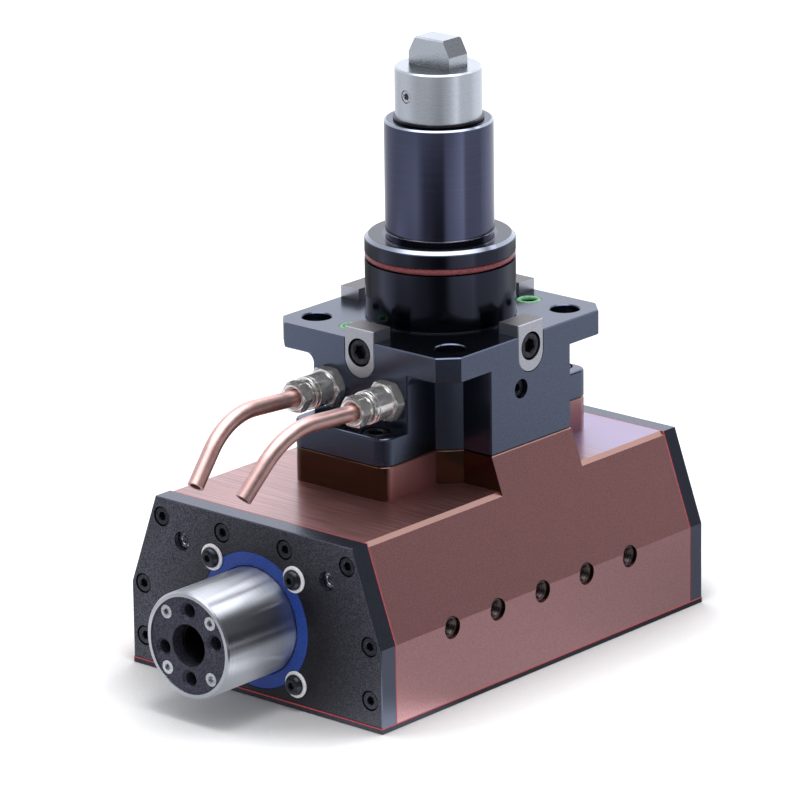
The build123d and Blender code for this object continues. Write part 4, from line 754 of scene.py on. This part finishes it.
# Pale paper floor. Metal mirrors cards on it too, in rings about the object: each ring's (start, full)
# distance in metres, and its cards by azimuth. The nose mirrors the first, the collar the fifth, the
# sleeve the sixth and the coupling the last.
floorLook = {
    "shade": "#f6f6f8", "overlit": 0.35, "contactReach": 0.045, "contactDark": 0.45, "contactFrom": 0.5,
    "size": 8.0, "below": 0.0002,
    "rings": [
        ((0, 0), [(-180, 1.0), (-125, 1.0), (-102, 1.0), (-92, 0.4), (-78, 0.6), (-66, 1.8), (-53, 1.8),
                  (-42, 0.64), (10, 0.64), (30, 0.56), (50, 0.46), (100, 0.6), (180, 1.0)]),
        ((0.165, 0.19), [(-180, 1.0), (-125, 1.0), (-102, 1.0), (-92, 0.4), (-78, 0.1), (-20, 0.06),
                         (0, 0.45), (30, 0.56), (50, 0.5), (100, 0.6), (180, 1.0)]),
        ((0.24, 0.27), [(-180, 0.3), (-145, 0.15), (-110, 0.06), (-15, 0.06), (5, 0.2), (24, 0.6), (49, 0.82),
                        (72, 0.9), (100, 0.3), (180, 0.3)]),
        ((0.33, 0.345), [(-180, 0.3), (-160, 0.6), (-145, 1.4), (-133, 1.3), (-123, 0.3), (-114, 0.08),
                         (-15, 0.06), (5, 0.2), (24, 0.65), (49, 0.85), (72, 0.9), (88, 0.4), (104, 0.22),
                         (180, 0.3)]),
        ((0.415, 0.435), [(-180, 0.2), (-160, 0.6), (-145, 1.5), (-133, 1.1), (-115, 0.4), (-72, 0.3),
                          (-55, 0.05), (-42, 0.05), (-30, 0.75), (-3, 0.8), (1, 1.1), (5, 0.65), (24, 0.65),
                          (49, 0.85), (72, 0.95), (88, 0.4), (104, 0.15), (180, 0.15)]),
        ((0.53, 0.57), [(-180, 0.75), (-150, 0.66), (-140, 0.72), (-98, 1.3), (-88, 0.6), (-80, 0.15),
                        (-62, 0.03), (-42, 0.03), (-35, 0.8), (-4, 1.7), (1, 1.9), (6, 0.75), (45, 0.72),
                        (65, 1.2), (110, 1.0), (180, 0.7)]),
        ((0.735, 0.775), [(-180, 0.7), (-160, 0.88), (-140, 0.82), (-100, 0.38), (-78, 1.05), (-48, 0.85),
                          (-26, 0.4), (-6, 0.95), (1, 1.4), (8, 0.95), (40, 0.8), (60, 0.9), (110, 1.1),
                          (180, 0.75)]),
    ],
}
floorMaterial = bpy.data.materials.new("paleStudioFloor")
floorMaterial.use_nodes = True
tree = floorMaterial.node_tree
tree.nodes.clear()
place = addNode(tree, "ShaderNodeTexCoord").outputs["Object"]
share = azimuthOf(tree, place)[1]
away = addNode(tree, "ShaderNodeVectorMath", {"operation": "LENGTH"}, {0: place}).outputs["Value"]
cards = None
for (start, full), stops in floorLook["rings"]:
    ring = cardRamp(tree, share, stops, -180, 180)
    if cards is None:
        cards = ring
        continue
    mask = addNode(tree, "ShaderNodeMapRange",
                   {"interpolation_type": "SMOOTHSTEP", "From Min": start, "From Max": full}, {"Value": away})
    cards = addNode(tree, "ShaderNodeMix", {"data_type": "RGBA"},
                    {0: mask.outputs[0], 6: cards, 7: ring}).outputs[2]
matte = addNode(tree, "ShaderNodeBsdfDiffuse", {"Color": tint(floorLook["shade"])})
# the camera sees the floor lit past white, as paper under an open exposure, and a painted contact shadow,
# taken from ambient occlusion, where the object stands on it
over = addNode(tree, "ShaderNodeBsdfDiffuse", {"Color": grey(floorLook["overlit"])})
paper = addNode(tree, "ShaderNodeAddShader", {}, {0: matte.outputs[0], 1: over.outputs[0]})
contact = addNode(tree, "ShaderNodeAmbientOcclusion", {"Distance": floorLook["contactReach"], "samples": 4})
clear = addNode(tree, "ShaderNodeMapRange",
                {"From Min": floorLook["contactFrom"], "To Min": floorLook["contactDark"]},
                {"Value": contact.outputs["AO"]}).outputs[0]
shown = addNode(tree, "ShaderNodeMixShader", {}, {0: clear, 2: paper.outputs[0]})
addNode(tree, "ShaderNodeOutputMaterial", {}, {0: byRay(tree, matte, cards, "ShaderNodeEmission", shown)})
bpy.ops.object.select_all(action="DESELECT")
bpy.ops.mesh.primitive_plane_add(size=floorLook["size"], location=(0, 0, -floorLook["below"]))
floor = bpy.context.object
floor.name = "floor"
floor.data.materials.append(floorMaterial)


def towards(azimuth, elevation):
    # a step of one metre at these angles in degrees
    level = cos(radians(elevation))
    return Vector((level * cos(radians(azimuth)), level * sin(radians(azimuth)), sin(radians(elevation))))


# soft lamps that metal doesn't mirror; angles in degrees, away and size in metres
lamps = {
    "overheadSoftbox": {"azimuth": -49, "elevation": 73, "away": 1.3, "size": 0.4, "watts": 5.0},
    "keySoftbox": {"azimuth": 40, "elevation": 68, "away": 1.4, "size": 0.9, "watts": 1.5},
}
lampTarget = Vector((0, -0.02, 0.09))
for name, look in lamps.items():
    data = bpy.data.lights.new(name, "AREA")
    data.shape = "SQUARE"
    data.size = look["size"]
    data.energy = look["watts"]
    lamp = bpy.data.objects.new(name, data)
    bpy.context.collection.objects.link(lamp)
    step = towards(look["azimuth"], look["elevation"])
    lamp.location = lampTarget + step * look["away"]
    lamp.rotation_mode = "QUATERNION"
    lamp.rotation_quaternion = step.to_track_quat("Z", "Y")
    lamp.visible_glossy = False

# the photograph's camera: a long lens at the front right and a little above; target and away in metres,
# angles in degrees, lens and sensor in mm
cameraView = {
    "target": (-0.01148, -0.01007, 0.08627), "away": 2.08905,
    "azimuth": -48.7427, "elevation": 17.3375, "roll": -0.7653, "lens": 257.17, "sensor": 36,
}
cameraData = bpy.data.cameras.new("camera")
cameraData.lens = cameraView["lens"]
cameraData.sensor_width = cameraView["sensor"]
cameraData.clip_start = 0.1
cameraData.clip_end = 50
camera = bpy.data.objects.new("camera", cameraData)
bpy.context.collection.objects.link(camera)
step = towards(cameraView["azimuth"], cameraView["elevation"])
camera.matrix_world = (Matrix.Translation(Vector(cameraView["target"]) + step * cameraView["away"])
                       @ Matrix.Rotation(radians(90 + cameraView["azimuth"]), 4, "Z")
                       @ Matrix.Rotation(radians(90 - cameraView["elevation"]), 4, "X")
                       @ Matrix.Rotation(radians(cameraView["roll"]), 4, "Z"))
bpy.context.scene.camera = camera
bpy.context.scene.view_settings.view_transform = "Standard"

print("done")
